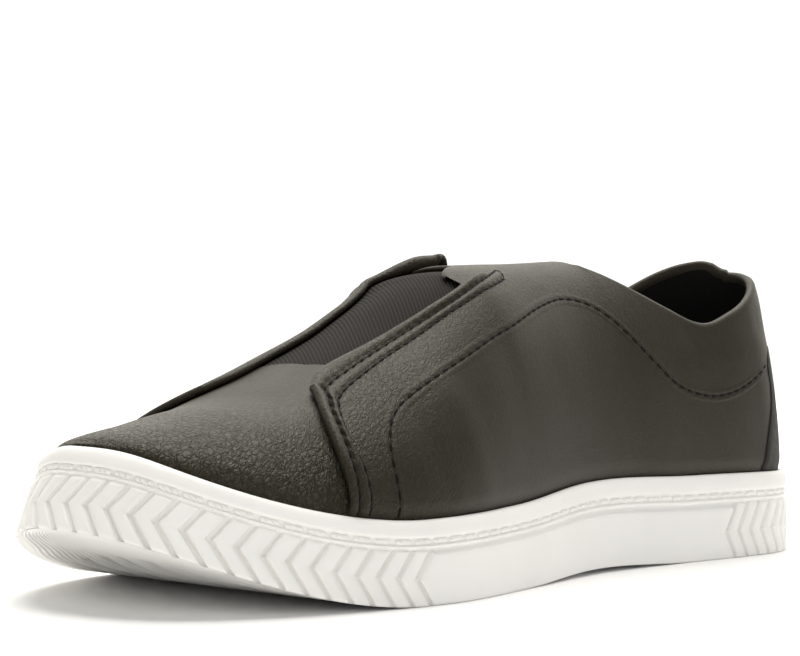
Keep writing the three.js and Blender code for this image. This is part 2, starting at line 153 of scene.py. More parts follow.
# crown and the collars are shares of the collar height, inner and outer are the powers of the
# section's halves, ridge is a share of the ball width
UPPER = table(("at", "crown", "inner_collar", "outer_collar", "inner", "outer", "ridge"), (
    (0.00, 1.30, 0.970, 0.980, 0.90, 0.90, 0.00),
    (0.003, 1.30, 0.968, 1.004, 0.93, 0.93, 0.00),
    (0.01, 1.30, 0.963, 1.010, 0.95, 0.95, 0.00),
    (0.045, 1.27, 0.935, 0.972, 0.98, 0.98, 0.00),
    (0.09, 1.22, 0.885, 0.907, 0.95, 0.92, 0.00),
    (0.15, 1.13, 0.822, 0.836, 0.85, 0.85, 0.01),
    (0.21, 1.06, 0.780, 0.810, 0.84, 0.84, 0.02),
    (0.27, 1.02, 0.835, 0.850, 0.84, 0.86, 0.03),
    (0.34, 0.98, 0.940, 0.930, 0.84, 0.88, 0.04),
    (0.42, 0.958, 1.100, 1.100, 0.84, 0.92, 0.05),
    (0.48, 0.948, 1.100, 1.100, 0.84, 0.76, 0.06),
    (0.55, 0.930, 1.100, 1.100, 0.84, 0.80, 0.07),
    (0.58, 0.896, 1.100, 1.100, 0.852, 0.99, 0.07),
    (0.61, 0.850, 1.100, 1.100, 0.87, 1.08, 0.07),
    (0.66, 0.760, 1.100, 1.100, 0.91, 1.06, 0.07),
    (0.71, 0.685, 1.100, 1.100, 0.95, 1.02, 0.07),
    (0.80, 0.570, 1.100, 1.100, 1.00, 1.02, 0.06),
    (0.89, 0.502, 1.100, 1.100, 1.02, 1.04, 0.04),
    (0.95, 0.472, 1.100, 1.100, 1.02, 1.04, 0.02),
    (0.982, 0.454, 1.100, 1.100, 1.00, 1.02, 0.01),
    (1.00, 0.434, 1.100, 1.100, 1.00, 1.00, 0.00),
))
THROAT_AT = 0.372
HEEL_LEAN = 11.5 * MM
HEEL_HOLLOW = 0.8 * MM
HEEL_REACH = 0.26
HEEL_REACH_POWER = 1.5
HEEL_LEAN_POWER = 1.7
SHOE_CENTRE = Vector((0, 0, 30 * MM))


def column(rows, name, at):
    """A smooth curve through one column of a table"""
    x = rows["at"]
    y = rows[name]
    slope = np.empty_like(y)
    slope[1:-1] = (y[2:] - y[:-2]) / (x[2:] - x[:-2])
    slope[0] = (y[1] - y[0]) / (x[1] - x[0])
    slope[-1] = (y[-1] - y[-2]) / (x[-1] - x[-2])
    at = np.asarray(at, float)
    i = np.clip(np.searchsorted(x, at) - 1, 0, len(x) - 2)
    span = x[i + 1] - x[i]
    t = np.clip((at - x[i]) / span, 0, 1)
    start = (2 * t ** 3 - 3 * t ** 2 + 1) * y[i] + (t ** 3 - 2 * t ** 2 + t) * span * slope[i]
    return start + (3 * t ** 2 - 2 * t ** 3) * y[i + 1] + (t ** 3 - t ** 2) * span * slope[i + 1]


def smooth(low, high, value):
    """0 below low, 1 above high, and a soft step between"""
    t = np.clip((value - low) / (high - low), 0, 1)
    return t * t * (3 - 2 * t)


def spread(*parts):
    """Positions through (from, to, count) stretches, without doubles"""
    stretches = [np.linspace(start, end, count, endpoint=False) for start, end, count in parts]
    return np.concatenate([*stretches, [parts[-1][1]]])


class Last:
    """The shape of the shoe: points of its sole and its upper, in metres in the frame"""

    def __init__(self, sizes):
        self.sizes = sizes
        inset = sizes.rim_width + 2 * sizes.fit + sizes.upper_wall + sizes.wall_lean
        self.heel_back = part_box("insole")[0].x - inset
        self.upper_inset = sizes.rim_width + sizes.fit
        self.turns = np.linspace(0, 2, 4001)
        x, y = self.outline(self.turns, 0)
        self.lengths = np.concatenate([[0], np.cumsum(np.hypot(np.diff(x), np.diff(y)))])

    @staticmethod
    def share(turn):
        turn = np.mod(turn, 2)
        return (1 - np.cos(np.pi * np.where(turn <= 1, turn, 2 - turn))) / 2

    @staticmethod
    def turn_of_share(at, inner=True):
        turn = np.arccos(1 - 2 * np.clip(at, 0, 1)) / np.pi
        return turn if inner else 2 - turn

    def turn_at_length(self, along):
        return np.interp(np.mod(along, self.lengths[-1]), self.lengths, self.turns)

    def length_at_turn(self, turn):
        return np.interp(turn, self.turns, self.lengths)

    def half_width(self, at, inner):
        width = self.sizes.ball_width * np.where(inner, column(SOLE, "inner", at), column(SOLE, "outer", at))
        heel = np.sqrt(np.clip(1 - (1 - at / HEEL_ROUND) ** 2, 0, 1))
        power = np.where(inner, INNER_TOE_POWER, OUTER_TOE_POWER)
        forward = np.clip((at - TOE_ROUND) / (1 - TOE_ROUND), 0, 1)
        toe = np.clip(1 - forward ** power, 0, 1) ** (1 / power)
        return width * np.where(at < HEEL_ROUND, heel, toe)

    def underside(self, at):
        spring = np.clip((at - SPRING_START) / (1 - SPRING_START), 0, 1) ** SPRING_POWER
        arch = np.clip(1 - ((at - ARCH_CENTRE) / ARCH_SPREAD) ** 2, 0, 1) ** 2
        return self.sizes.toe_spring * spring + self.sizes.arch_rise * arch

    def wall_height(self, at):
        return self.sizes.heel_wall * column(SOLE, "wall", at)

    def lean(self, at):
        forward = np.clip((at - TOE_ROUND) / (1 - TOE_ROUND), 0, 1)
        return self.sizes.wall_lean + self.sizes.toe_lean * forward ** 2

    def plain_outline(self, turn):
        turn = np.mod(turn, 2)
        inner = turn <= 1
        at = self.share(turn)
        return at * self.sizes.sole_length, np.where(inner, 1, -1) * self.half_width(at, inner)

    def outline(self, turn, inset):
        """Plan of the sole's outline, moved inwards by inset"""
        step = 0.004
        x, y = self.plain_outline(turn)
        x_on, y_on = self.plain_outline(turn + step)
        x_back, y_back = self.plain_outline(turn - step)
        along = np.hypot(x_on - x_back, y_on - y_back)
        return x + inset * (y_on - y_back) / along, y - inset * (x_on - x_back) / along

    def place(self, x, y, z):
        """Points in the frame"""
        return np.stack(np.broadcast_arrays(x + self.heel_back, y, z), -1)

    def wall(self, turn, level, inset):
        """Points of the sole's wall at a share of its height"""
        at = self.share(turn)
        x, y = self.outline(turn, inset + self.lean(at) * level)
        return self.place(x, y, self.underside(at) + level * self.wall_height(at))

    def rim(self, at):
        return self.underside(at) + self.wall_height(at)

    def share_at(self, point):
        """Share of the sole's length at a point of the frame"""
        return (point.x - self.heel_back) / self.sizes.sole_length

    def x_at(self, share):
        """Place along the frame at a share of the sole's length"""
        return self.heel_back + share * self.sizes.sole_length

    def skin(self, turn, rise):
        """Points of the upper's outer skin: rise is 0 at the rim and 1 at the collar or the crown"""
        sizes = self.sizes
        turn, rise = np.broadcast_arrays(np.mod(turn, 2).astype(float), np.asarray(rise, float))
        at = self.share(turn)
        inner = turn <= 1
        rim = self.rim(at)
        crown = sizes.collar_height * column(UPPER, "crown", at)
        collar_share = np.where(inner, column(UPPER, "inner_collar", at), column(UPPER, "outer_collar", at))
        power = np.where(inner, column(UPPER, "inner", at), column(UPPER, "outer", at))
        reach = np.clip((sizes.collar_height * collar_share - rim) / (crown - rim), 0, 1)
        reach = np.where(at < THROAT_AT, reach, 1)
        angle = np.clip(rise, 0, None) * np.arcsin(reach ** (1 / power))
        up = np.sin(angle) ** power
        out = np.clip(np.cos(angle), 0, 1) ** power
        inset = self.upper_inset + self.lean(at)
        base_x, base_y = self.outline(turn, inset)
        far_x, far_y = self.outline(2 - turn, inset)
        middle_x = (base_x + far_x) / 2
        middle_y = (base_y + far_y) / 2 + sizes.ball_width * column(UPPER, "ridge", at)
        height = rim + up * (crown - rim) + np.minimum(rise, 0) * (sizes.cup_depth - sizes.fit)
        backness = np.clip(1 - at / HEEL_REACH, 0, 1) ** HEEL_REACH_POWER
        climb = np.clip((height - rim) / (sizes.collar_height - sizes.heel_wall), 0, 1)
        lean = HEEL_LEAN * climb ** HEEL_LEAN_POWER + HEEL_HOLLOW * np.sin(np.pi * climb)
        x = middle_x + (base_x - middle_x) * out + backness * lean
        return self.place(x, middle_y + (base_y - middle_y) * out, height)

    def normal(self, turn, rise):
        """Directions out of the skin"""
        step = 0.002
        rise = np.asarray(rise, float)
        along = self.skin(turn + step, rise) - self.skin(turn - step, rise)
        up = self.skin(turn, rise + step) - self.skin(turn, np.maximum(rise - step, 0))
        normal = np.cross(up, along)
        return normal / (np.linalg.norm(normal, axis=-1, keepdims=True) + 1e-12)

    def find(self, x, z, inner):
        """Turn and rise of the skin at lengths from the heel and heights"""
        at = np.array(x, float) / self.sizes.sole_length
        levels = np.linspace(0, 1, 161)
        for _ in range(8):
            turn = self.turn_of_share(at, inner)
            lines = self.skin(turn[:, None], levels[None, :])
            rise = np.array([np.interp(height, line[:, 2], levels) for height, line in zip(z, lines)])
            found = self.skin(turn, rise)
            at = np.clip(at + (x - found[:, 0] + self.heel_back) / self.sizes.sole_length, 0, 1)
        return turn, rise


# Meshes
def new_object(name, bm, material, smooth_faces=True):
    """Makes an object of a bmesh, with one material"""
    mesh = bpy.data.meshes.new(name)
    bm.to_mesh(mesh)
    bm.free()
    for polygon in mesh.polygons:
        polygon.use_smooth = smooth_faces
    mesh.materials.append(material)
    return linked(name, mesh)


def linked(name, data):
    """A new object in the scene"""
    item = bpy.data.objects.new(name, data)
    bpy.context.scene.collection.objects.link(item)
    return item


def keep(piece, slot, *nodes):
    """Puts a piece under its body and hides the nodes that it stands for; slot is not used"""
    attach(piece, "root")
    if nodes:
        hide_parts(*nodes)
    return piece


def sheet_mesh(points, bm=None):
    """A grid with its vertices at points[column, row], added to a bmesh"""
    bm = bm or bmesh.new()
    columns, rows = points.shape[:2]
    made = bmesh.ops.create_grid(bm, x_segments=columns - 1, y_segments=rows - 1, size=0.5)["verts"]
    for vert in made:
        i = round((vert.co.x + 0.5) * (columns - 1))
        j = round((vert.co.y + 0.5) * (rows - 1))
        vert.co = Vector(points[i, j])
    return bm


def weld(bm, distance=1e-6):
    bmesh.ops.remove_doubles(bm, verts=bm.verts[:], dist=distance)
    bm.normal_update()


def face_outwards(bm, centre):
    """Turns an open sheet so that its faces look away from a point"""
    bm.normal_update()
    score = sum(face.normal.dot(face.calc_center_median() - centre) * face.calc_area() for face in bm.faces)
    if score < 0:
        bmesh.ops.reverse_faces(bm, faces=bm.faces[:])
        bm.normal_update()


def turn_outwards(bm, centre):
    """Makes the faces of joined sheets agree and look away from a point"""
    bmesh.ops.recalc_face_normals(bm, faces=bm.faces[:])
    face_outwards(bm, centre)


def border(bm, where):
    """The free edges with both ends at points that where(point) says yes to"""
    return [edge for edge in bm.edges if edge.is_boundary and all(where(vert.co) for vert in edge.verts)]


def tree_of(points):
    """A search tree of points, each one under its number"""
    tree = KDTree(len(points))
    for k, point in enumerate(points):
        tree.insert(point, k)
    tree.balance()
    return tree


def lift(bm, amount):
    """Moves each vertex along its normal by amount(point)"""
    bm.normal_update()
    moves = [(vert, vert.normal * amount(vert.co)) for vert in bm.verts]
    for vert, move in moves:
        vert.co += move
    bm.normal_update()


# How far a rolled edge runs back under its sheet
TUCK = 1.2 * MM


def roll_edges(bm, edges, radius, steps=5):
    """Rolls border edges over, each vertex round its own radius, and tucks the end in"""
    frames = {}
    for edge in edges:
        face = edge.link_faces[0]
        middle = (edge.verts[0].co + edge.verts[1].co) / 2
        along = (edge.verts[1].co - edge.verts[0].co).normalized()
        out = along.cross(face.normal)
        if out.dot(middle - face.calc_center_median()) < 0:
            out.negate()
        for vert in edge.verts:
            frames.setdefault(vert, []).append(out)
    source = {}
    for vert, outs in frames.items():
        out = sum(outs, Vector())
        out = (out - vert.normal * out.dot(vert.normal)).normalized()
        source[vert] = (vert.co.copy(), out, vert.normal.copy(), radius(vert.co))
    edges = list(edges)
    for step in range(1, steps + 2):
        made = bmesh.ops.extrude_edge_only(bm, edges=edges)["geom"]
        edges = [item for item in made if isinstance(item, bmesh.types.BMEdge)]
        fresh = {}
        for vert in (item for item in made if isinstance(item, bmesh.types.BMVert)):
            old = next(edge.other_vert(vert) for edge in vert.link_edges if edge.other_vert(vert) in source)
            fresh[vert] = source[old]
        angle = math.pi * min(step, steps) / steps
        inwards = TUCK if step > steps else 0
        for vert, (place, out, normal, reach) in fresh.items():
            down = normal * reach * (math.cos(angle) - 1)
            vert.co = place + out * (reach * math.sin(angle) - inwards) + down
        source = fresh
    bm.normal_update()


def paint(bm, name, amount):
    """Stores amount(point) on each vertex for the finish to read"""
    layer = bm.verts.layers.float.new(name)
    for vert in bm.verts:
        vert[layer] = amount(vert.co)


# Sole
WALL_ROWS = table(("level", "inset", "block"), (
    (0.008, 3.20, 0),
    (0.000, 0.95, 0),
    (0.000, 0.50, 0),
    (0.012, 0.22, 1),
    (0.045, 0.04, 1),
    (0.110, 0.00, 1),
    (0.190, 0.00, 1),
    (0.270, 0.00, 1),
    (0.315, 0.00, 1),
    (0.330, 0.00, 1),
    (0.345, 0.00, 1),
    (0.390, 0.00, 1),
    (0.460, 0.00, 1),
    (0.540, 0.00, 1),
    (0.595, 0.01, 1),
    (0.620, 0.05, 1),
    (0.633, 0.15, 1),
    (0.642, 0.36, 1),
    (0.648, 0.58, 1),
    (0.654, 0.74, 0),
    (0.662, 0.80, 0),
    (0.673, 0.78, 0),
    (0.680, 0.60, 0),
    (0.686, 0.38, 0),
    (0.692, 0.29, 0),
    (0.700, 0.30, 0),
    (0.706, 0.42, 0),
    (0.711, 0.68, 0),
    (0.718, 0.88, 0),
    (0.728, 0.92, 0),
    (0.752, 0.92, 0),
    (0.776, 0.92, 0),
    (0.784, 0.84, 0),
    (0.790, 0.60, 0),
    (0.797, 0.30, 0),
    (0.808, 0.10, 0),
    (0.835, 0.00, 0),
    (0.870, 0.00, 0),
    (0.910, 0.08, 0),
    (0.945, 0.27, 0),
    (0.975, 0.60, 0),
    (0.993, 1.05, 0),
    (1.000, 1.60, 0),
    (0.996, 2.05, 0),
    (0.970, 2.30, 0),
    (0.900, 2.38, 0),
))
CHEVRON_TIP = 0.33
CHEVRON_TOP = 0.645
FRONT_CHEVRONS_FROM = 0.757
HEEL_CHEVRONS_TO = 0.20
PANEL_TOP = 0.60
GROOVE_HALF = 0.85 * MM
# Columns of the wall beside the middle of a groove in mm, and the step between columns of the plain stretches
GROOVE_COLUMNS = (-1.05, -0.92, -0.80, -0.68, -0.54, 0.0, 0.54, 0.68, 0.80, 0.92, 1.05)
WALL_STEP = 0.0015


def chevron_tips(last):
    """Lengths along the outline of the tips of the chevron grooves"""
    pitch = last.sizes.chevron_pitch
    whole = last.lengths[-1]
    front = last.length_at_turn(last.turn_of_share(FRONT_CHEVRONS_FROM))
    heel = last.length_at_turn(last.turn_of_share(HEEL_CHEVRONS_TO))
    count = round((whole - 2 * front) / pitch)
    heel_count = round(2 * heel / pitch)
    front_tips = [front + k * pitch for k in range(count + 1)]
    heel_tips = [heel - k * pitch for k in range(heel_count, -1, -1)]
    return front_tips, heel_tips


def chevron_shift(last, level):
    """How far a groove lies behind its tip at a level of the wall"""
    above = (level - CHEVRON_TIP) / (CHEVRON_TOP - CHEVRON_TIP)
    below = (CHEVRON_TIP - level) / CHEVRON_TIP
    return -last.sizes.chevron_reach * np.clip(np.maximum(above, below), 0, 1)


def sole_wall(last):
    """The wall of the cupsole, its columns bent along the chevrons so that every groove is clean"""
    front, heel = chevron_tips(last)
    whole = last.lengths[-1]
    middle = last.sizes.chevron_pitch / 2
    across = [tip + offset * MM for tip in front + heel for offset in GROOVE_COLUMNS]
    across += [tip + middle for tip in front + heel]
    for start, end in ((heel[-1], front[0]), (front[-1], whole + heel[0])):
        across += list(np.arange(start + middle + WALL_STEP, end - middle, WALL_STEP))
    along = np.unique(np.round(np.mod(across, whole), 6))
    tips = np.mod(np.array(front + heel), whole)
    gap = np.abs(along[:, None] - tips[None])
    nearest = np.minimum(gap, whole - gap).min(1)
    groove = 1 - smooth(0.52 * MM, 1.02 * MM, nearest)
    in_front = (along > front[0] - GROOVE_HALF) & (along < front[-1] + GROOVE_HALF)
    behind = np.mod(along + whole / 2, whole) - whole / 2
    in_heel = (behind > heel[0] - GROOVE_HALF) & (behind < heel[-1] + GROOVE_HALF)
    panel = ~(in_front | in_heel)
    level = WALL_ROWS["level"][None, :]
    inset = WALL_ROWS["inset"][None, :] * MM
    block = WALL_ROWS["block"][None, :]
    depth = last.sizes.chevron_depth * groove[:, None] * block
    inset = np.maximum(inset, depth)
    lowered = np.where(panel[:, None] & (block > 0), PANEL_TOP / CHEVRON_TOP, 1)
    shift = chevron_shift(last, np.clip(level, 0, CHEVRON_TOP)) * smooth(0.72, 0.64, level)
    turn = last.turn_at_length(along[:, None] + shift)
    points = last.wall(turn, level * lowered, inset)
    return np.concatenate([points, points[:1]])


MOCK_LEVEL = 0.751
MOCK_HALF = 0.66 * MM
MOCK_FILL = 0.84
MOCK_DEPTH = 0.92 * MM
# Gaps between the three strands: their places and their half width along a stitch, and their slant
MOCK_GAPS = (-0.34, 0.34)
MOCK_GAP_HALF = 0.085
MOCK_SLANT = 0.22


def mock_stitches(last):
    """The moulded stitches in the groove of the wall: each one a rim with three slanted strands in it"""
    pitch = last.sizes.chevron_pitch
    count = round(last.lengths[-1] / pitch)
    along = np.linspace(-1, 1, 25)[:, None]
    across = np.linspace(-1, 1, 9)[None, :]
    end = np.sqrt(np.clip(1 - np.abs(along) ** 5, 0, 1))
    gaps = 0 * along * across
    for shift in MOCK_GAPS:
        gaps = np.maximum(gaps, np.exp(-((along - shift - MOCK_SLANT * across) / MOCK_GAP_HALF) ** 2))
    rise = (1 - np.abs(across) ** 3) * end ** 0.5
    height = (0.05 + 0.62 * rise * (1 - 0.6 * gaps)) * MM
    height = np.where((np.abs(across) == 1) | (np.abs(along) == 1), -0.1 * MM, height)
    bm = bmesh.new()
    for k in range(count):
        length = (k + 0.5) * last.lengths[-1] / count
        turn = last.turn_at_length(length + along * MOCK_FILL * pitch / 2) + 0 * across
        level = MOCK_LEVEL + across * end * MOCK_HALF / last.wall_height(last.share(turn))
        sheet_mesh(last.wall(turn, level, MOCK_DEPTH - height), bm)
    return bm


TREAD_GROUPS = (
    {"count": 7, "start": 0.585, "end": 0.945, "shorter": 0.065},
    {"count": 5, "start": 0.045, "end": 0.27, "shorter": 0.02},
)
TREAD_BORDER = 7 * MM
TREAD_HALF = 1.6 * MM
TREAD_WAVE = 1.0 * MM
TREAD_WAVE_LENGTH = 22 * MM
TREAD_RIB = 0.45 * MM
TREAD_RIBS = 15
# How far the underside ends inside the sole's outline
TREAD_INSET = 0.95 * MM


def tread(last):
    """The underside: a grid across the sole whose columns follow the wavy grooves"""
    at = spread((0.0, 0.05, 24), (0.05, 0.95, 200), (0.95, 1.0, 30))
    columns = 8 * TREAD_RIBS
    shares = [k / 8 / TREAD_RIBS for k in range(-columns - 3, columns + 5)]
    across = np.unique(np.round(np.clip(shares, -1, 1), 6))
    inner = last.half_width(at, True)
    outer = last.half_width(at, False)
    reach = (inner + outer) / 2
    centre = (inner - outer) / 2
    x = at * last.sizes.sole_length
    margin = TREAD_INSET / np.maximum(reach, 2 * MM)
    inside = across[None, :] * (1 - np.clip(margin, 0, 0.45))[:, None]
    wave = TREAD_WAVE * np.sin(2 * np.pi * x / TREAD_WAVE_LENGTH)
    edge = smooth(1.0, 0.7, np.abs(across))
    y = centre[:, None] + inside * reach[:, None] + wave[:, None] * edge[None, :]
    z = np.repeat(last.underside(at)[:, None], len(across), 1)
    for group in TREAD_GROUPS:
        for k in range(group["count"]):
            place = (k + 0.5) / group["count"] * 2 - 1
            short = group["shorter"] * place * place
            line = centre + place * (reach - TREAD_BORDER) + wave
            off = np.abs(y - line[:, None])
            half = smooth(TREAD_HALF + 0.25 * MM, TREAD_HALF - 0.25 * MM, off)
            run = smooth(group["start"] + short - 0.002, group["start"] + short + 0.018, at)
            run = run * smooth(group["end"] - short + 0.002, group["end"] - short - 0.018, at)
            z = z + last.sizes.tread_depth * half * run[:, None]
    off = (y - centre[:, None] - wave[:, None]) / np.maximum(reach - 1.5 * MM, MM)[:, None]
    inside = smooth(0.99, 0.93, np.abs(off)) * smooth(1.0, 0.97, at)[:, None]
    z = z + TREAD_RIB * inside * (0.5 - 0.5 * np.cos(2 * np.pi * TREAD_RIBS * off))
    squeeze = np.clip(1 - 2 * TREAD_INSET / last.sizes.sole_length, 0, 1)
    x = (x - last.sizes.sole_length / 2) * squeeze + last.sizes.sole_length / 2
    return last.place(x[:, None], y, z)


# Upper
# The folded hem of a flap: one row for each station from the sole round the corner to the flap's end,
# with the places of its edge and of its two rows of stitches on the skin
HEM = table(("edge_at", "edge", "first_at", "first", "second_at", "second"), (
    (0.8195, 0.000, 0.812, 0.000, 0.8005, 0.000),
    (0.8185, 0.160, 0.8105, 0.160, 0.799, 0.160),
    (0.8165, 0.310, 0.8075, 0.320, 0.7985, 0.280),
    (0.8105, 0.450, 0.8005, 0.460, 0.799, 0.375),
    (0.7995, 0.590, 0.7905, 0.590, 0.793, 0.490),
    (0.7880, 0.690, 0.7815, 0.655, 0.785, 0.575),
    (0.7802, 0.764, 0.7755, 0.724, 0.7740, 0.646),
    (0.7535, 0.836, 0.752, 0.757, 0.752, 0.690),
    (0.7036, 0.842, 0.7036, 0.782, 0.7036, 0.727),
    (0.6614, 0.826, 0.6614, 0.778, 0.6614, 0.726),
    (0.6214, 0.795, 0.6214, 0.752, 0.6214, 0.711),
    (0.5903, 0.780, 0.5903, 0.740, 0.5903, 0.700),
    (0.5536, 0.795, 0.5560, 0.752, 0.5580, 0.703),
    (0.5200, 0.830, 0.5250, 0.793, 0.5300, 0.726),
    (0.4890, 0.865, 0.4959, 0.849, 0.5047, 0.761),
))
HEM_CORNER = 6
# How much nearer to the ridge the outer flap lies at each of those stations
OUTER_SHIFTS = (0, 0, 0, 0, -0.01, -0.03, -0.05, -0.065, -0.06, -0.05, -0.045, -0.035, -0.02, -0.01, -0.035)
# How much further back the end of the outer flap lies, and from which station on
OUTER_BACK = 0.026
OUTER_BACK_FROM = 9
# The quarters' own edge, hidden under the hem, and the bridge's front edge over the gore
QUARTER_TOP = table(("at", "rise"), (
    (0.770, 0.735),
    (0.750, 0.790),
    (0.700, 0.805),
    (0.660, 0.795),
    (0.620, 0.768),
    (0.592, 0.755),
    (0.580, 0.758),
    (0.570, 0.766),
))
OUTER_QUARTER_TOP = table(("at", "rise"), (
    (0.770, 0.670),
    (0.750, 0.725),
    (0.700, 0.745),
    (0.660, 0.745),
    (0.620, 0.723),
    (0.590, 0.715),
    (0.550, 0.732),
    (0.500, 0.755),
))
BRIDGE_EDGE = table(("at", "rise"), (
    (0.570, 0.766),
    (0.5705, 0.800),
    (0.5705, 0.830),
    (0.570, 0.858),
    (0.568, 0.888),
    (0.562, 0.925),
    (0.545, 0.965),
    (0.522, 1.000),
))
OUTER_BRIDGE_EDGE = table(("at", "rise"), (
    (0.500, 0.755),
    (0.5035, 0.810),
    (0.507, 0.860),
    (0.511, 0.905),
    (0.516, 0.950),
    (0.522, 1.000),
))
BRIDGE_AT = 0.522
FLAP_COLUMNS = 60
BRIDGE_COLUMNS = 30
INSTEP_COLUMNS = 44
COLLAR_COLUMNS = 90
# Where the first columns of the flap, the bridge, the instep and the collar start at the rim
INNER_FEET = (0.815, 0.565, 0.540, 0.360)
OUTER_FEET = (0.815, 0.380, 0.372, 0.360)
# How far behind the hem's edge the quarters' own front edge lies, as a share of the sole's length
HEM_COVER = 0.011
# Rises of the rows that lead the leather down into the sole
TUCKED_RISES = (-0.5, -0.2, -0.06)


def through(rows, names, count, corner=None):
    """A smooth path through the rows of a table, with a sharp corner at one of them if it is given"""
    stations = np.arange(len(rows[names[0]]))
    at = np.linspace(0, stations[-1], count)
    result = []
    for name in names:
        values = rows[name]
        parts = [(0, len(values))] if corner is None else [(0, corner + 1), (corner, len(values))]
        curve = np.empty_like(at)
        for start, end in parts:
            inside = (at >= start - 1e-9) & (at <= end - 1 + 1e-9)
            piece = {"at": stations[start:end].astype(float), "value": values[start:end]}
            curve[inside] = column(piece, "value", at[inside])
        result.append(curve)
    return result


def tucked(turn, rise, rises=TUCKED_RISES):
    """Turn and rise of a sheet with rows added that lead it down into the sole"""
    below = np.repeat(turn[:, :1], len(rises), 1)
    low = np.broadcast_to(rises, below.shape)
    return np.concatenate([below, turn], 1), np.concatenate([low, rise], 1)


def quarter_grid(last, inner):
    """Turn and rise of the points of one quarter, from the flap's front edge to the heel"""
    flap = through(QUARTER_TOP if inner else OUTER_QUARTER_TOP, ("at", "rise"), FLAP_COLUMNS + 1)
    bridge = through(BRIDGE_EDGE if inner else OUTER_BRIDGE_EDGE, ("at", "rise"), BRIDGE_COLUMNS + 1)
    instep = np.linspace(BRIDGE_AT, THROAT_AT, INSTEP_COLUMNS, endpoint=False)
    collar = last.share(np.linspace(last.turn_of_share(THROAT_AT - 1e-6), 0, COLLAR_COLUMNS))
    top_at = np.concatenate([flap[0][:-1], bridge[0][:-1], instep, collar])
    top = np.concatenate([flap[1][:-1], bridge[1][:-1], np.ones(INSTEP_COLUMNS + COLLAR_COLUMNS)])
    columns = np.arange(len(top_at))
    starts = np.cumsum([0, FLAP_COLUMNS, BRIDGE_COLUMNS, INSTEP_COLUMNS])
    feet = INNER_FEET if inner else OUTER_FEET
    bottom_at = np.interp(columns, starts, feet)
    bottom_at[starts[-1]:] = last.share(np.linspace(last.turn_of_share(feet[-1]), 0, COLLAR_COLUMNS))
    v = spread((0, 1, 56))
    front_rise, front_at = through(HEM, ("edge", "edge_at"), 200)
    front = np.interp(v * top[0], front_rise[:80], front_at[:80] - HEM_COVER)
    bend = front - ((1 - v) * bottom_at[0] + v * top_at[0])
    fade = np.clip(1 - columns / FLAP_COLUMNS, 0, 1) ** 2
    at = bottom_at[:, None] * (1 - v) + top_at[:, None] * v + fade[:, None] * bend
    return tucked(last.turn_of_share(at, inner), top[:, None] * v)


HEM_LAYERS = table(("across", "edge", "first", "second", "puff"), (
    (0.00, 1.00, 0.00, 0.00, 0.62),
    (0.05, 0.85, 0.15, 0.00, 0.84),
    (0.10, 0.70, 0.30, 0.00, 0.92),
    (0.16, 0.52, 0.48, 0.00, 0.88),
    (0.21, 0.37, 0.63, 0.00, 0.72),
    (0.26, 0.20, 0.80, 0.00, 0.46),
    (0.30, 0.09, 0.91, 0.00, 0.16),
    (0.33, 0.00, 1.00, 0.00, 0.02),
    (0.36, 0.00, 0.92, 0.08, 0.26),
    (0.40, 0.00, 0.82, 0.18, 0.55),
    (0.46, 0.00, 0.68, 0.32, 0.74),
    (0.53, 0.00, 0.50, 0.50, 0.80),
    (0.60, 0.00, 0.32, 0.68, 0.74),
    (0.66, 0.00, 0.18, 0.82, 0.52),
    (0.70, 0.00, 0.08, 0.92, 0.22),
    (0.73, 0.00, 0.00, 1.00, 0.00),
    (0.77, 0.00, -0.10, 1.10, 0.10),
    (0.83, 0.00, -0.22, 1.22, 0.06),
    (1.00, 0.00, -0.42, 1.42, -0.14),
))
HEM_LINES = ("edge", "first", "second")
FLAP_CENTRE = Vector((30 * MM, 0, 20 * MM))
FIRST_ROW = 7
SECOND_ROW = 15
HEM_COLUMNS = 300
# Depth of the pinch at a stitch, its reach across the hem, and the clear stretch for the thread
PUCKER = 0.50 * MM
PUCKER_REACH = 0.085
PUCKER_CLEAR = 0.02
# Where the outer flap's end closes, and where the inner one's edge sinks and the outer one's stands up
END_FROM = 0.972
SINK = (0.885, 0.96)
CURL = (0.83, 0.95)


def run_of(points):
    """Length along a path at each of its points"""
    return np.concatenate([[0], np.cumsum(np.linalg.norm(np.diff(points, axis=0), axis=1))])


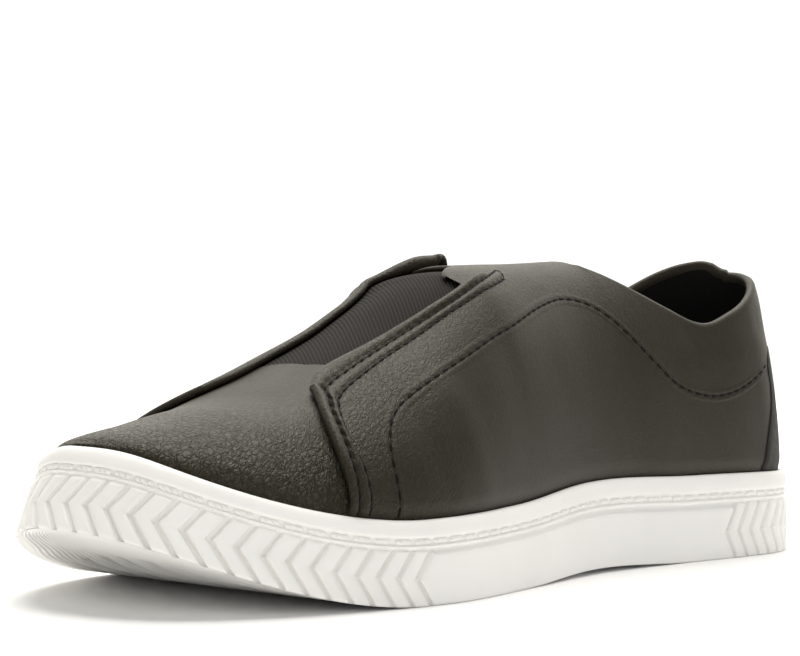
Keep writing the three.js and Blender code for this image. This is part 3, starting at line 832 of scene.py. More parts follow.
class Hem:
    """The folded hem of one flap: its points, its directions out and the radius of its rolled edge"""

    def __init__(self, last, inner):
        lines = self.lines(inner)
        at = sum(lines[f"{name}_at"][:, None] * HEM_LAYERS[name][None, :] for name in HEM_LINES)
        rise = sum(lines[name][:, None] * HEM_LAYERS[name][None, :] for name in HEM_LINES)
        turn = last.turn_of_share(at, inner)
        skin = last.skin(turn, rise)
        self.normal = last.normal(turn, rise)
        along = np.linspace(0, 1, HEM_COLUMNS)[:, None]
        across = HEM_LAYERS["across"][None, :]
        strip = smooth(0.31, 0.24, across)
        puff = self.puckered(last, skin, along, across)
        puff = puff * (1 - 0.35 * (1 - strip) * smooth(0.40, 0.50, along))
        front = smooth(0.02, 0.14, along) * smooth(0.62, 0.48, along) * inner
        puff = puff + 0.55 * MM * front * (1 - across) ** 2
        roll = last.sizes.flap_roll * np.ones_like(along) + 0.35 * MM * front
        if inner:
            sunk = np.maximum(strip * smooth(*SINK, along), smooth(0.992, 1.0, along))
            puff = puff * (1 - sunk) - 0.4 * MM * sunk
            roll = roll * (1 - 0.6 * smooth(*SINK, along))
        else:
            puff = puff + last.sizes.flap_curl * smooth(*CURL, along) * (1 - across) ** 1.15
            roll = roll + 1.3 * MM * smooth(*CURL, along)
        over = skin[..., 2] - last.rim(last.share(turn))
        raised = last.sizes.quarter_raise * smooth(-1.0 * MM, 3.5 * MM, over)
        folds = np.array([[fold_height(last, Vector(point)) for point in line] for line in skin])
        height = raised + folds + puff * smooth(-2 * MM, 2 * MM, over)
        if not inner:
            closed = np.sqrt(np.clip(1 - np.clip((along - END_FROM) / (1 - END_FROM), 0, 1) ** 2, 0, 1))
            height = height * closed - 0.3 * MM * (1 - closed)
            roll = roll * np.clip(closed, 0.1, 1)
        self.points = skin + self.normal * height[..., None]
        self.rolls = roll[:, 0]
        low = last.skin(np.repeat(turn[:1], 2, 0), np.broadcast_to([[-0.45], [-0.12]], (2, at.shape[1])))
        self.grid = np.concatenate([low, self.points])

    def row(self, number):
        """Path of a row of stitches and its directions out"""
        return self.points[:, number], self.normal[:, number]

    @staticmethod
    def lines(inner):
        """Places of the edge and of the rows of stitches on the skin"""
        names = [*HEM_LINES, *(f"{name}_at" for name in HEM_LINES)]
        lines = dict(zip(names, through(HEM, names, HEM_COLUMNS, HEM_CORNER)))
        if not inner:
            stations = np.linspace(0, len(OUTER_SHIFTS) - 1, HEM_COLUMNS)
            shift = np.interp(stations, range(len(OUTER_SHIFTS)), OUTER_SHIFTS)
            back = OUTER_BACK * smooth(OUTER_BACK_FROM, len(OUTER_SHIFTS) - 1, stations)
            for name in HEM_LINES:
                lines[name] = lines[name] + shift
                lines[f"{name}_at"] = lines[f"{name}_at"] - back
        return lines

    @staticmethod
    def puckered(last, skin, along, across):
        """Height of the stuffed fold, pinched beside each stitch"""
        puff = HEM_LAYERS["puff"][None, :] * MM * np.ones_like(along)
        for row in (FIRST_ROW, SECOND_ROW):
            pinch = 0.5 + 0.5 * np.cos(2 * np.pi * stitch_phase(last, skin[:, row]))[:, None]
            away = across - HEM_LAYERS["across"][row]
            close = np.exp(-(away / PUCKER_REACH) ** 2)
            beside = 1 - np.exp(-(away / PUCKER_CLEAR) ** 2)
            puff = puff - PUCKER * pinch * close * beside
        return puff


def stitch_phase(last, path):
    """Whole numbers at the holes of a row of stitches"""
    run = run_of(path)
    return run / run[-1] * max(1, round(run[-1] / last.sizes.stitch_length))


def hem_mesh(hem):
    """The hem of one flap as a sheet with its free edge rolled"""
    bm = sheet_mesh(hem.grid)
    weld(bm, 1e-7)
    face_outwards(bm, FLAP_CENTRE)
    tree = tree_of([Vector(point) for point in hem.points[:, 0]])
    edges = border(bm, lambda point: tree.find(point)[2] < 1e-6)
    roll_edges(bm, edges, lambda point: float(hem.rolls[tree.find(point)[1]]), 7)
    paint(bm, "grain", lambda point: 0.35)
    return bm


# Stitches
# Half thickness of a thread, the gap at each end as a share of a stitch, its height and its hole's radius,
# which is the radius of the dark disc of painted shade in the hole
HEM_STITCH = {"reach": 0.31 * MM, "gap": 0.12, "raised": 0.0, "hole": 0.50 * MM}
END_STITCH = {"reach": 0.31 * MM, "gap": 0.12, "raised": 0.0, "hole": 0.42 * MM}
SEAM_STITCH = {"reach": 0.27 * MM, "gap": 0.10, "raised": 0.06 * MM, "hole": 0.32 * MM}
# A thread's width and height as shares of its thickness, and how deep its ends go down
THREAD_WIDTH = 1.15
THREAD_HEIGHT = 0.85
THREAD_SINK = 0.12 * MM
# How far the dark discs of painted shade in the stitch holes stand off the leather
HOLE_SHADE_LIFT = 0.05 * MM


def unit(vectors):
    """Each vector at length 1"""
    return vectors / np.linalg.norm(vectors, axis=1, keepdims=True)


def add_stitches(bm, hole_shades, path, normal, count, reach, gap, raised, hole):
    """Threads along a path over the leather, and a dark disc of painted shade in each hole that they go into
    """
    run = run_of(path) / run_of(path)[-1] * count
    steps = np.linspace(0, 1, 9)
    ring = np.linspace(0, 2 * np.pi, 7)[None, :, None]
    for k in range(count):
        at = k + gap + (1 - 2 * gap) * steps
        middle = np.stack([np.interp(at, run, path[:, axis]) for axis in range(3)], 1)
        out = unit(np.stack([np.interp(at, run, normal[:, axis]) for axis in range(3)], 1))
        side = np.cross(out, unit(np.gradient(middle, axis=0)))
        bow = np.sin(np.pi * steps) ** 0.5
        middle = middle + out * ((raised + THREAD_SINK) * bow - THREAD_SINK)[:, None]
        thick = (reach * np.clip(np.sin(np.pi * steps), 0, 1) ** 0.3)[:, None, None]
        round_it = side[:, None] * np.cos(ring) * THREAD_WIDTH + out[:, None] * np.sin(ring) * THREAD_HEIGHT
        sheet_mesh(middle[:, None] + thick * round_it, bm)
    # A dark disc of painted shade in each hole
    for k in range(count + 1):
        place = Vector([np.interp(k, run, path[:, axis]) for axis in range(3)])
        out = Vector([np.interp(k, run, normal[:, axis]) for axis in range(3)]).normalized()
        turned = out.to_track_quat("Z", "Y").to_matrix().to_4x4()
        bmesh.ops.create_circle(
            hole_shades, cap_ends=True, radius=hole, segments=9,
            matrix=Matrix.Translation(place + out * HOLE_SHADE_LIFT) @ turned)


def stitch_hem(threads, hole_shades, last, hem):
    """Both rows of stitches along a hem, and the short one that closes its end"""
    for number in (FIRST_ROW, SECOND_ROW):
        path, normal = hem.row(number)
        count = round(run_of(path)[-1] / last.sizes.stitch_length)
        add_stitches(threads, hole_shades, path, normal, count, **HEM_STITCH)
    end = (-3, slice(FIRST_ROW, SECOND_ROW + 1))
    add_stitches(threads, hole_shades, hem.points[end], hem.normal[end], 2, **END_STITCH)


# The decorative seam, from the sole round its top and down to the heel, in lengths from the heel and heights
DECO_LINE = table(("x", "z"), (
    (0.2015, 0.0160),
    (0.2012, 0.0265),
    (0.2004, 0.0310),
    (0.1983, 0.0350),
    (0.1950, 0.0385),
    (0.1900, 0.0417),
    (0.1814, 0.0454),
    (0.1677, 0.0508),
    (0.1525, 0.0565),
    (0.1325, 0.0621),
    (0.1180, 0.0650),
    (0.1108, 0.0655),
    (0.1037, 0.0647),
    (0.0975, 0.0625),
    (0.0916, 0.0590),
    (0.0858, 0.0546),
    (0.0796, 0.0500),
    (0.0735, 0.0461),
    (0.0665, 0.0436),
    (0.0588, 0.0424),
    (0.0520, 0.0424),
    (0.0442, 0.0438),
    (0.0358, 0.0466),
    (0.0270, 0.0505),
))
# The swell of the leather across the seam, in mm
SEAM_LAYERS = table(("side", "height"), (
    (-2.30, -0.16),
    (-1.80, -0.03),
    (-1.35, 0.04),
    (-0.95, 0.09),
    (-0.60, 0.09),
    (-0.32, 0.03),
    (-0.12, -0.03),
    (0.12, -0.03),
    (0.32, 0.03),
    (0.60, 0.09),
    (0.95, 0.09),
    (1.35, 0.04),
    (1.80, -0.03),
    (2.30, -0.16),
))


class Seam:
    """The decorative seam of one quarter: its line on the leather and the soft swell along it"""

    def __init__(self, last, inner):
        x, z = through(DECO_LINE, ("x", "z"), 420)
        turn, rise = last.find(x, z, inner)
        self.normal = last.normal(turn, rise)
        raised = quarter_height(last, last.share(turn), z)
        folds = np.array([fold_height(last, Vector(point)) for point in last.skin(turn, rise)])
        self.path = last.skin(turn, rise) + self.normal * (raised + folds)[:, None]
        side = np.cross(self.normal, unit(np.gradient(self.path, axis=0)))
        run = run_of(self.path)
        self.count = round(run[-1] / last.sizes.seam_stitch)
        pinch = 0.5 + 0.5 * np.cos(2 * np.pi * run / run[-1] * self.count)
        ends = smooth(0, 3 * MM, run) * smooth(run[-1], run[-1] - 3 * MM, run)
        height = SEAM_LAYERS["height"][None, :] * MM
        height = height - 0.07 * MM * pinch[:, None] * (np.abs(SEAM_LAYERS["side"]) < 0.7)[None, :]
        height = np.where(ends[:, None] < 1, height * ends[:, None] - 0.2 * MM * (1 - ends[:, None]), height)
        place = SEAM_LAYERS["side"][None, :, None] * MM
        self.points = self.path[:, None] + side[:, None] * place + self.normal[:, None] * height[..., None]


def seam_mesh(last, seam):
    bm = sheet_mesh(seam.points)
    face_outwards(bm, SHOE_CENTRE)
    paint(bm, "grain", lambda point: quarter_grain(last, point))
    return bm


def raise_of(last, point, extra=0.0):
    """Height of the quarters over the vamp: thinner where they go into the sole"""
    return extra + float(quarter_height(last, last.share_at(point), point.z))


def quarter_height(last, at, z):
    """Height of the quarters' leather over the skin, less in the hollow of the heel"""
    hollow = 0.55 * smooth(0.18, 0.03, at) * smooth(70 * MM, 58 * MM, z)
    return last.sizes.quarter_raise * (1 - hollow) * smooth(-1.0 * MM, 3.5 * MM, z - last.rim(at))


# Soft troughs and ridges of the leather: from x, z to x, z in mm, half width, height
FOLDS = (
    (150, 51, 141, 25, 8.0, -0.20),
    (121, 54, 112, 24, 9.0, 0.18),
    (95, 52, 88, 23, 8.0, -0.18),
    (176, 42, 171, 22, 5.0, 0.28),
    (62, 57, 30, 62, 5.0, -0.32),
    (64, 51, 26, 56, 4.0, 0.16),
    (190, 40, 186, 24, 4.0, -0.22),
    (212, 41, 226, 30, 5.0, -0.30),
    (224, 38, 236, 29, 4.0, 0.16),
)


def fold_height(last, point):
    """Height of the soft folds at a point of the leather"""
    place = Vector((point.x - last.heel_back, point.z)) / MM
    total = 0.0
    for x0, z0, x1, z1, half, height in FOLDS:
        start = Vector((x0, z0))
        way = Vector((x1, z1)) - start
        share = min(max((place - start).dot(way) / way.length_squared, 0), 1)
        away = (place - start - way * share).length / half
        total += height * MM * math.exp(-away * away)
    return total


def vamp_grain(last, point):
    """Strength of the leather's grain, which also sets how strong its painted crease shade and pebble
    highlights are: strong low on the vamp's sides, smooth on its top
    """
    over = point.z - float(last.rim(last.share_at(point)))
    return 0.14 + 0.86 * float(smooth(26 * MM, 9 * MM, over))


def quarter_grain(last, point):
    """Finer grain beside the flaps and above the seam, almost none on the smooth side; the grain also sets
    how strong the painted crease shade and pebble highlights are
    """
    at = last.share_at(point)
    line = np.interp(point.x - last.heel_back, DECO_LINE["x"][::-1], DECO_LINE["z"][::-1])
    above = float(smooth(-3 * MM, 3 * MM, point.z - line)) * float(smooth(0.25, 0.42, at))
    return 0.07 + 0.20 * above + 0.22 * float(smooth(0.64, 0.76, at))


# Radii of the rolled edges, and how high over the floor they start
BRIDGE_ROLL = 0.62 * MM
VAMP_ROLL = 0.6 * MM
COLLAR_OVER = 40 * MM
VAMP_EDGE_OVER = 30 * MM
# Shares of the sole's length: the front end of the bridge's edge, and the vamp's rear edge and its front end
BRIDGE_FRONT = 0.572
VAMP_REAR = 0.723
VAMP_REAR_TO = 0.76
VAMP_SIDE = 0.80
VAMP_TOE = 0.97
# How much further forward the vamp's rear edge lies at the ridge
VAMP_PULL = 0.016


def quarters_mesh(last):
    """Both quarters with the bridge between them, their collar and the bridge's edge rolled"""
    bm = bmesh.new()
    for inner in (True, False):
        turn, rise = quarter_grid(last, inner)
        sheet_mesh(last.skin(turn, rise), bm)
    weld(bm, 2e-6)
    turn_outwards(bm, SHOE_CENTRE)
    lift(bm, lambda point: raise_of(last, point) + fold_height(last, point))
    collar_to = last.x_at(THROAT_AT) + 1 * MM
    collar = border(bm, lambda point: point.x < collar_to and point.z > COLLAR_OVER)
    roll_edges(bm, collar, lambda point: last.sizes.collar_roll)
    start = last.x_at(THROAT_AT) + 20 * MM
    end = last.x_at(BRIDGE_FRONT)
    bridge = border(bm, lambda point: start < point.x < end and point.z > COLLAR_OVER)
    roll_edges(bm, bridge, lambda point: BRIDGE_ROLL)
    paint(bm, "grain", lambda point: quarter_grain(last, point))
    return bm


def vamp_mesh(last):
    """The vamp, from under the flaps round the toe, its rear edge at the gore"""
    rows = spread((0, 1, 70))
    front = spread((VAMP_REAR, VAMP_SIDE, 34), (VAMP_SIDE, VAMP_TOE, 60), (VAMP_TOE, 1.0, 20))
    turns = np.concatenate([last.turn_of_share(front), 2 - last.turn_of_share(front)[-2::-1]])
    at = last.share(turns)
    back = np.clip((VAMP_SIDE - at) / (VAMP_SIDE - VAMP_REAR), 0, 1)
    pull = VAMP_PULL * rows[None, :] ** 3 * back[:, None]
    shifted = last.turn_of_share(at[:, None] + pull)
    turn = np.where(turns[:, None] <= 1, shifted, 2 - shifted)
    bm = sheet_mesh(last.skin(*tucked(turn, np.broadcast_to(rows, turn.shape))))
    weld(bm, 2e-6)
    face_outwards(bm, Vector((0.05, 0, 0.02)))

    def fold(point):
        over = point.z - last.rim(last.share_at(point))
        return fold_height(last, point) * float(smooth(1 * MM, 6 * MM, over))

    lift(bm, fold)
    rear = last.x_at(VAMP_REAR_TO)
    edges = border(bm, lambda point: point.x < rear and point.z > VAMP_EDGE_OVER)
    bound = tree_of([vert.co.copy() for edge in edges for vert in edge.verts])
    roll_edges(bm, edges, lambda point: VAMP_ROLL)
    paint(bm, "grain", lambda point: vamp_grain(last, point))
    paint(bm, "edge", lambda point: float(smooth(2.0 * MM, 0.8 * MM, bound.find(point)[2])))
    return bm


GORE_SUNK = 0.2 * MM


def gore_mesh(last):
    """The elastic in the window, a little under the leather around it"""
    bm = bmesh.new()
    at = spread((0.485, 0.760, 100))
    rows = spread((0.52, 1.0, 40))
    for inner in (True, False):
        turn = last.turn_of_share(at, inner)
        sheet_mesh(last.skin(turn[:, None], rows[None, :]), bm)
    weld(bm, 2e-6)
    turn_outwards(bm, FLAP_CENTRE)
    lift(bm, lambda point: -GORE_SUNK)
    return bm


# The patch's front edge on the inner side, in lengths from the heel and heights
PATCH_EDGE = table(("x", "z"), (
    (0.0330, 0.0200),
    (0.0310, 0.0260),
    (0.0296, 0.0305),
    (0.0276, 0.0355),
    (0.0256, 0.0405),
    (0.0250, 0.0450),
    (0.0258, 0.0490),
    (0.0240, 0.0530),
    (0.0170, 0.0555),
    (0.0060, 0.0565),
))
PATCH_RAISE = 0.22 * MM


def patch_mesh(last):
    """The heel patch over the quarters"""
    x, z = through(PATCH_EDGE, ("x", "z"), 60)
    edge, _ = last.find(x, z, True)
    turn = np.mod(np.linspace(-1, 1, 121)[:, None] * edge[None, :], 2)
    levels = np.linspace(0, 1, 161)
    rise = np.empty_like(turn)
    for j, height in enumerate(z):
        lines = last.skin(turn[:, j, None], levels[None, :])[..., 2]
        rise[:, j] = [np.interp(height, line, levels) for line in lines]
    bm = sheet_mesh(last.skin(*tucked(turn, rise, (-0.3, -0.1))))
    turn_outwards(bm, Vector((-0.08, 0, 0.03)))
    lift(bm, lambda point: raise_of(last, point, PATCH_RAISE))
    edges = border(bm, lambda point: point.z > 21 * MM)
    roll_edges(bm, edges, lambda point: PATCH_RAISE, 3)
    paint(bm, "edge", lambda point: patch_edge(last, point))
    return bm


def patch_edge(last, point):
    """1 along the patch's front edge, 0 a few millimetres behind it"""
    edge = np.interp(point.z, PATCH_EDGE["z"], PATCH_EDGE["x"])
    return float(smooth(4.5 * MM, 1.0 * MM, edge - (point.x - last.heel_back)))


def lining_mesh(last):
    """The inside of the upper, from the collar down to the insole"""
    bm = bmesh.new()
    turns = np.concatenate([np.linspace(0, 1, 110), np.linspace(1, 2, 110)[1:]])
    rows = np.concatenate([[-0.9, -0.4], spread((0, 1, 36))])
    sheet_mesh(last.skin(turns[:, None], rows[None, :]), bm)
    weld(bm, 2e-6)
    turn_outwards(bm, SHOE_CENTRE)
    lift(bm, lambda point: -last.sizes.upper_wall * 0.8)
    bmesh.ops.reverse_faces(bm, faces=bm.faces[:])
    return bm


def insole_mesh(last):
    """The footbed: a soft dish with a rounded edge"""
    sizes = last.sizes
    inset = last.upper_inset + sizes.upper_wall + sizes.fit
    rings = np.array([0.0, 0.25, 0.9, 2.2, 5.0, 10.0]) * MM
    drop = np.array([1.2, 0.35, 0.05, 0.0, 0.25, 0.5]) * MM
    turns = np.linspace(0, 2, 241)
    at = last.share(turns)
    bm = bmesh.new()
    points = []
    for ring, low in zip(rings, drop):
        x, y = last.outline(turns, inset + last.lean(at) + ring)
        z = last.rim(at) - sizes.cup_depth + sizes.fit + sizes.insole_thickness - low
        points.append(last.place(x, y, z))
    points = np.stack(points, 1)
    sheet_mesh(points, bm)
    half = len(turns) // 2 + 1
    facing = np.minimum(np.arange(len(turns), half - 1, -1), len(turns) - 1)
    near = points[:half, None, -1]
    far = points[facing, None, -1]
    steps = spread((0, 1, 10))[None, :, None]
    sheet_mesh(near * (1 - steps) + far * steps, bm)
    weld(bm, 2e-5)
    turn_outwards(bm, Vector((0, 0, -0.05)))
    return bm


# Finishes
def arithmetic(operation, swapped=False):
    """A method that joins two values through a Math node"""
    def method(self, other):
        pair = (other, self) if swapped else (self, other)
        return self.finish.math(operation, *pair)

    return method


class Value:
    """One output in a finish, which takes part in sums"""
    __add__ = arithmetic("ADD")
    __radd__ = arithmetic("ADD", True)
    __sub__ = arithmetic("SUBTRACT")
    __rsub__ = arithmetic("SUBTRACT", True)
    __mul__ = arithmetic("MULTIPLY")
    __rmul__ = arithmetic("MULTIPLY", True)
    __truediv__ = arithmetic("DIVIDE")

    def __init__(self, finish, socket):
        self.finish = finish
        self.socket = socket

    def step(self, low, high):
        """0 below low, 1 above high, soft between"""
        return self.finish.node(
            "ShaderNodeMapRange", {"interpolation_type": "SMOOTHSTEP"},
            {"Value": self, "From Min": low, "From Max": high})

    def wave(self):
        """0 to 1 and back for each whole number"""
        return self.finish.math("COSINE", self * (2 * math.pi), 0) * 0.5 + 0.5


class Finish:
    """Makes one material and the nodes that feed its shader"""

    def __init__(self, name, base, roughness, **shader):
        self.material = bpy.data.materials.new(name)
        self.material.use_nodes = True
        self.tree = self.material.node_tree
        self.shader = self.tree.nodes["Principled BSDF"]
        self.set("Base Color", (*base, 1))
        self.set("Roughness", roughness)
        for key, value in shader.items():
            self.set(key.replace("_", " "), value)

    def feed(self, socket, value):
        if isinstance(value, Value):
            self.tree.links.new(value.socket, socket)
        else:
            socket.default_value = value

    def set(self, name, value):
        self.feed(self.shader.inputs[name], value)

    def node(self, kind, settings, inputs, output=0):
        node = self.tree.nodes.new(kind)
        for key, value in settings.items():
            setattr(node, key, value)
        for key, value in inputs.items():
            self.feed(node.inputs[key], value)
        return Value(self, node.outputs[output])

    def math(self, operation, first, second=0):
        return self.node("ShaderNodeMath", {"operation": operation}, {0: first, 1: second})

    def place(self):
        """Object coordinates in metres"""
        return self.node("ShaderNodeTexCoord", {}, {}, "Object")

    def attribute(self, name):
        return self.node("ShaderNodeAttribute", {"attribute_name": name}, {}, "Fac")

    def noise(self, place, scale, detail=2.0, output="Fac", distortion=0.0):
        return self.node(
            "ShaderNodeTexNoise", {},
            {"Vector": place, "Scale": scale, "Detail": detail, "Distortion": distortion}, output)

    def cells(self, place, scale):
        """Distance from the edges between cells"""
        return self.node(
            "ShaderNodeTexVoronoi", {"feature": "DISTANCE_TO_EDGE"},
            {"Vector": place, "Scale": scale}, "Distance")

    def drawn_out(self, way, ratio):
        """Object coordinates in which a pattern is longer along one way"""
        turned = Vector(way).to_track_quat("X", "Z").to_euler()
        return self.node(
            "ShaderNodeMapping", {"vector_type": "TEXTURE"},
            {"Vector": self.place(), "Rotation": turned, "Scale": (ratio, 1.0, 1.0)})

    def axis(self, name):
        return self.node("ShaderNodeSeparateXYZ", {}, {"Vector": self.place()}, name)

    def bent(self, place, amount, scale):
        """A place moved about by noise"""
        colour = self.noise(place, scale, 1.0, "Color")
        move = self.node("ShaderNodeVectorMath", {"operation": "SUBTRACT"}, {0: colour, 1: (0.5, 0.5, 0.5)})
        move = self.node("ShaderNodeVectorMath", {"operation": "SCALE"}, {0: move, "Scale": amount})
        return self.node("ShaderNodeVectorMath", {"operation": "ADD"}, {0: place, 1: move})

    def mix(self, mask, first, second):
        """first where the mask is 0 and second where it is 1"""
        first = first if isinstance(first, Value) else (*first, 1)
        second = second if isinstance(second, Value) else (*second, 1)
        return self.node("ShaderNodeMix", {"data_type": "RGBA"}, {0: mask, 6: first, 7: second}, 2)

    def bump(self, height, distance, strength=1.0):
        self.set("Normal", self.node(
            "ShaderNodeBump", {}, {"Height": height, "Distance": distance, "Strength": strength}))
        return self.material


def shade(base, factor):
    return tuple(part * factor for part in base)


LEATHER_SHEEN = (1.0, 0.94, 0.82, 1.0)


def leather_finish(colours):
    """Pebbled and creased leather, as strong as its grain says, with painted shade in its valleys and
    wrinkles and painted highlights on its pebbles' tops, darker along its cut edges
    """
    finish = Finish(
        "upper_leather", colours.leather, 0.5, Specular_IOR_Level=0.26, Specular_Tint=LEATHER_SHEEN)
    grain = finish.attribute("grain")
    edge = finish.attribute("edge")
    warped = finish.bent(finish.drawn_out((-0.72, -0.43, 0.55), 1.6), 0.0016, 780.0)
    pebbles = finish.cells(warped, 800.0)
    folds = finish.noise(finish.drawn_out((-0.6, -0.2, 0.75), 2.2), 640.0, 2.0, distortion=0.6)
    fine = finish.cells(finish.bent(finish.place(), 0.0004, 1500.0), 2100.0)
    fold = finish.math("ABSOLUTE", folds - 0.5)
    wrinkle = 1 - fold.step(0.0, 0.055)
    valley = 1 - pebbles.step(0.0, 0.13)
    clouds = finish.noise(finish.place(), 60.0, 3.0)
    soft = finish.noise(finish.place(), 330.0, 3.0)
    # Painted shade: darker in the pebbles' valleys and in the wrinkles, as strong as the grain; the clouds
    # add a random mottle
    dark = (valley * 0.30 + wrinkle * 0.40) * grain + (0.5 - clouds).step(-0.12, 0.14) * 0.08
    # Painted highlight: the pebbles' tops are made lighter, most where the grain is strong, and this lit
    # leather is then given its dark cut edges
    lit = pebbles.step(0.05, 0.35) * grain * grain
    painted_pebble_highlights = finish.mix(lit, colours.leather, shade(colours.leather, 1.8))
    highlighted_leather_with_dark_edges = finish.mix(edge, painted_pebble_highlights, colours.edge)
    finish.set("Base Color", finish.mix(dark, highlighted_leather_with_dark_edges, shade(colours.leather, 0.45)))
    finish.set("Roughness", 0.46 + valley * grain * 0.20 - grain * 0.08 + (clouds - 0.5) * 0.10)
    height = pebbles.step(0.0, 0.32) * grain * 0.45 - wrinkle * grain * 0.42
    height = height + fine.step(0.0, 0.3) * (grain * 0.12 + 0.06) + (soft - 0.5) * (0.10 + grain * 0.35)
    return finish.bump(height, 0.00030, 1.0)


def rubber_finish(colours):
    finish = Finish("sole_rubber", colours.rubber, 0.48, Specular_IOR_Level=0.45)
    clouds = finish.noise(finish.place(), 60.0, 2.0)
    finish.set("Base Color", finish.mix(
        clouds.step(0.35, 0.7) * 0.5, colours.rubber, shade(colours.rubber, 0.965)))
    skin = finish.noise(finish.place(), 900.0, 2.0)
    return finish.bump(skin, 0.00003, 0.35)


def elastic_finish(colours):
    finish = Finish("gore_elastic", colours.gore, 0.85, Specular_IOR_Level=0.25)
    x = finish.axis("X")
    y = finish.axis("Y")
    ribs = ((y * 0.64 - x * 0.77) / 0.00082).wave()
    weave = ((x * 0.64 + y * 0.77) / 0.00085).wave()
    knots = finish.noise(finish.bent(finish.place(), 0.0002, 2000.0), 1900.0, 2.0)
    lit = ((ribs * 0.75 + ribs * weave * 0.25) * (knots * 0.9 + 0.55)).step(0.1, 1.1)
    finish.set("Base Color", finish.mix(lit, shade(colours.gore, 0.5), shade(colours.gore, 2.0)))
    return finish.bump(ribs * 0.8 + weave * ribs * 0.3 + knots * 0.5, 0.00022, 0.9)


def fabric_finish(name, base):
    finish = Finish(name, base, 0.9, Specular_IOR_Level=0.2)
    x = finish.axis("X")
    y = finish.axis("Y")
    weave = ((x + y) / 0.0011).wave() * ((x - y) / 0.0011).wave()
    nap = finish.noise(finish.place(), 2200.0, 2.0)
    finish.set("Base Color", finish.mix(nap, shade(base, 0.7), shade(base, 1.5)))
    return finish.bump(weave * 0.6 + nap * 0.5, 0.00012, 0.8)


def thread_finish(colours):
    finish = Finish("thread", colours.thread, 0.8, Specular_IOR_Level=0.15)
    twist_and_glints = finish.noise(finish.place(), 2600.0, 2.0)
    # Painted glints: random specks of the thread made lighter
    finish.set("Base Color", finish.mix(
        twist_and_glints.step(0.5, 0.8), colours.thread, shade(colours.thread, 1.8)))
    return finish.bump(twist_and_glints, 0.00005, 0.6)


def patch_finish(colours):
    finish = Finish("patch_leather", colours.patch, 0.7, Specular_IOR_Level=0.25)
    spots = finish.noise(finish.bent(finish.place(), 0.002, 160.0), 420.0, 3.0)
    clouds = finish.noise(finish.place(), 130.0, 2.0)
    dark = spots.step(0.42, 0.62) * 0.5 + clouds.step(0.4, 0.65) * 0.3
    # A near-black band along the patch's front edge, where the edge mask is 1
    dark = finish.math("MAXIMUM", dark, finish.attribute("edge"))
    finish.set("Base Color", finish.mix(dark, colours.patch, shade(colours.patch, 0.12)))
    return finish.bump(spots + finish.noise(finish.place(), 1500.0, 2.0) * 0.4, 0.00016, 0.7)


class ShoeOperator:
    """What the operators share"""
    bl_options = {"REGISTER", "UNDO"}

    @property
    def last(self):
        return Last(bpy.context.scene.shoe_sizes)

    @property
    def colours(self):
        return bpy.context.scene.shoe_colours


class SHOE_OT_sole(ShoeOperator, bpy.types.Operator):
    """Models the cupsole: its wall with chevrons and its tread"""
    bl_idname = "shoe.sole"
    bl_label = "Cupsole"

    def execute(self, context):
        last = self.last
        bm = sheet_mesh(sole_wall(last))
        weld(bm, 2e-6)
        face_outwards(bm, Vector((0, 0, 0.01)))
        rubber = rubber_finish(self.colours)
        keep(new_object("sole_wall", bm, rubber), "sole_rubber", "sole")
        bm = sheet_mesh(tread(last))
        weld(bm, 1e-6)
        turn_outwards(bm, Vector((0, 0, 0.1)))
        keep(new_object("sole_tread", bm, rubber), "sole_rubber")
        bm = mock_stitches(last)
        face_outwards(bm, Vector((0, 0, 0.02)))
        keep(new_object("mock_stitches", bm, rubber), "sole_rubber")
        return {"FINISHED"}


class SHOE_OT_upper(ShoeOperator, bpy.types.Operator):
    """Models the leather of the upper with its hems, seams and stitches, and the lining"""
    bl_idname = "shoe.upper"
    bl_label = "Upper"

    def execute(self, context):
        last = self.last
        leather = leather_finish(self.colours)
        lining = fabric_finish("lining", self.colours.lining)
        keep(new_object("vamp", vamp_mesh(last), leather), "upper_leather")
        keep(new_object("quarters", quarters_mesh(last), leather), "upper_leather", "upper")
        threads = bmesh.new()
        hole_shades = bmesh.new()
        for side, inner in (("inner", True), ("outer", False)):
            hem = Hem(last, inner)
            keep(new_object(f"hem_{side}", hem_mesh(hem), leather), "upper_leather")
            stitch_hem(threads, hole_shades, last, hem)
            seam = Seam(last, inner)
            keep(new_object(f"seam_{side}", seam_mesh(last, seam), leather), "upper_leather")
            add_stitches(threads, hole_shades, seam.path, seam.normal, seam.count, **SEAM_STITCH)
        weld(threads, 1e-6)
        bmesh.ops.recalc_face_normals(threads, faces=threads.faces[:])
        keep(new_object("threads", threads, thread_finish(self.colours)), "upper_leather")
        # Near-black material of the discs of painted shade in the stitch holes
        dark = Finish("hole", (0.004, 0.004, 0.0035), 0.9).material
        keep(new_object("stitch_hole_shades", hole_shades, dark, False), "upper_leather")
        keep(new_object("lining", lining_mesh(last), lining), "insole_fabric")
        return {"FINISHED"}


class SHOE_OT_gore(ShoeOperator, bpy.types.Operator):
    """Models the elastic gore over the instep"""
    bl_idname = "shoe.gore"
    bl_label = "Elastic gore"

    def execute(self, context):
        elastic = elastic_finish(self.colours)
        keep(new_object("gore", gore_mesh(self.last), elastic), "gore_elastic", "elastic_gore")
        return {"FINISHED"}


class SHOE_OT_patch(ShoeOperator, bpy.types.Operator):
    """Models the heel patch"""
    bl_idname = "shoe.patch"
    bl_label = "Heel patch"

    def execute(self, context):
        leather = patch_finish(self.colours)
        keep(new_object("patch", patch_mesh(self.last), leather), "patch_leather", "heel_patch")
        return {"FINISHED"}


class SHOE_OT_insole(ShoeOperator, bpy.types.Operator):
    """Models the footbed"""
    bl_idname = "shoe.insole"
    bl_label = "Insole"

    def execute(self, context):
        fabric = fabric_finish("insole_fabric", self.colours.lining)
        keep(new_object("footbed", insole_mesh(self.last), fabric), "insole_fabric", "insole")
        return {"FINISHED"}


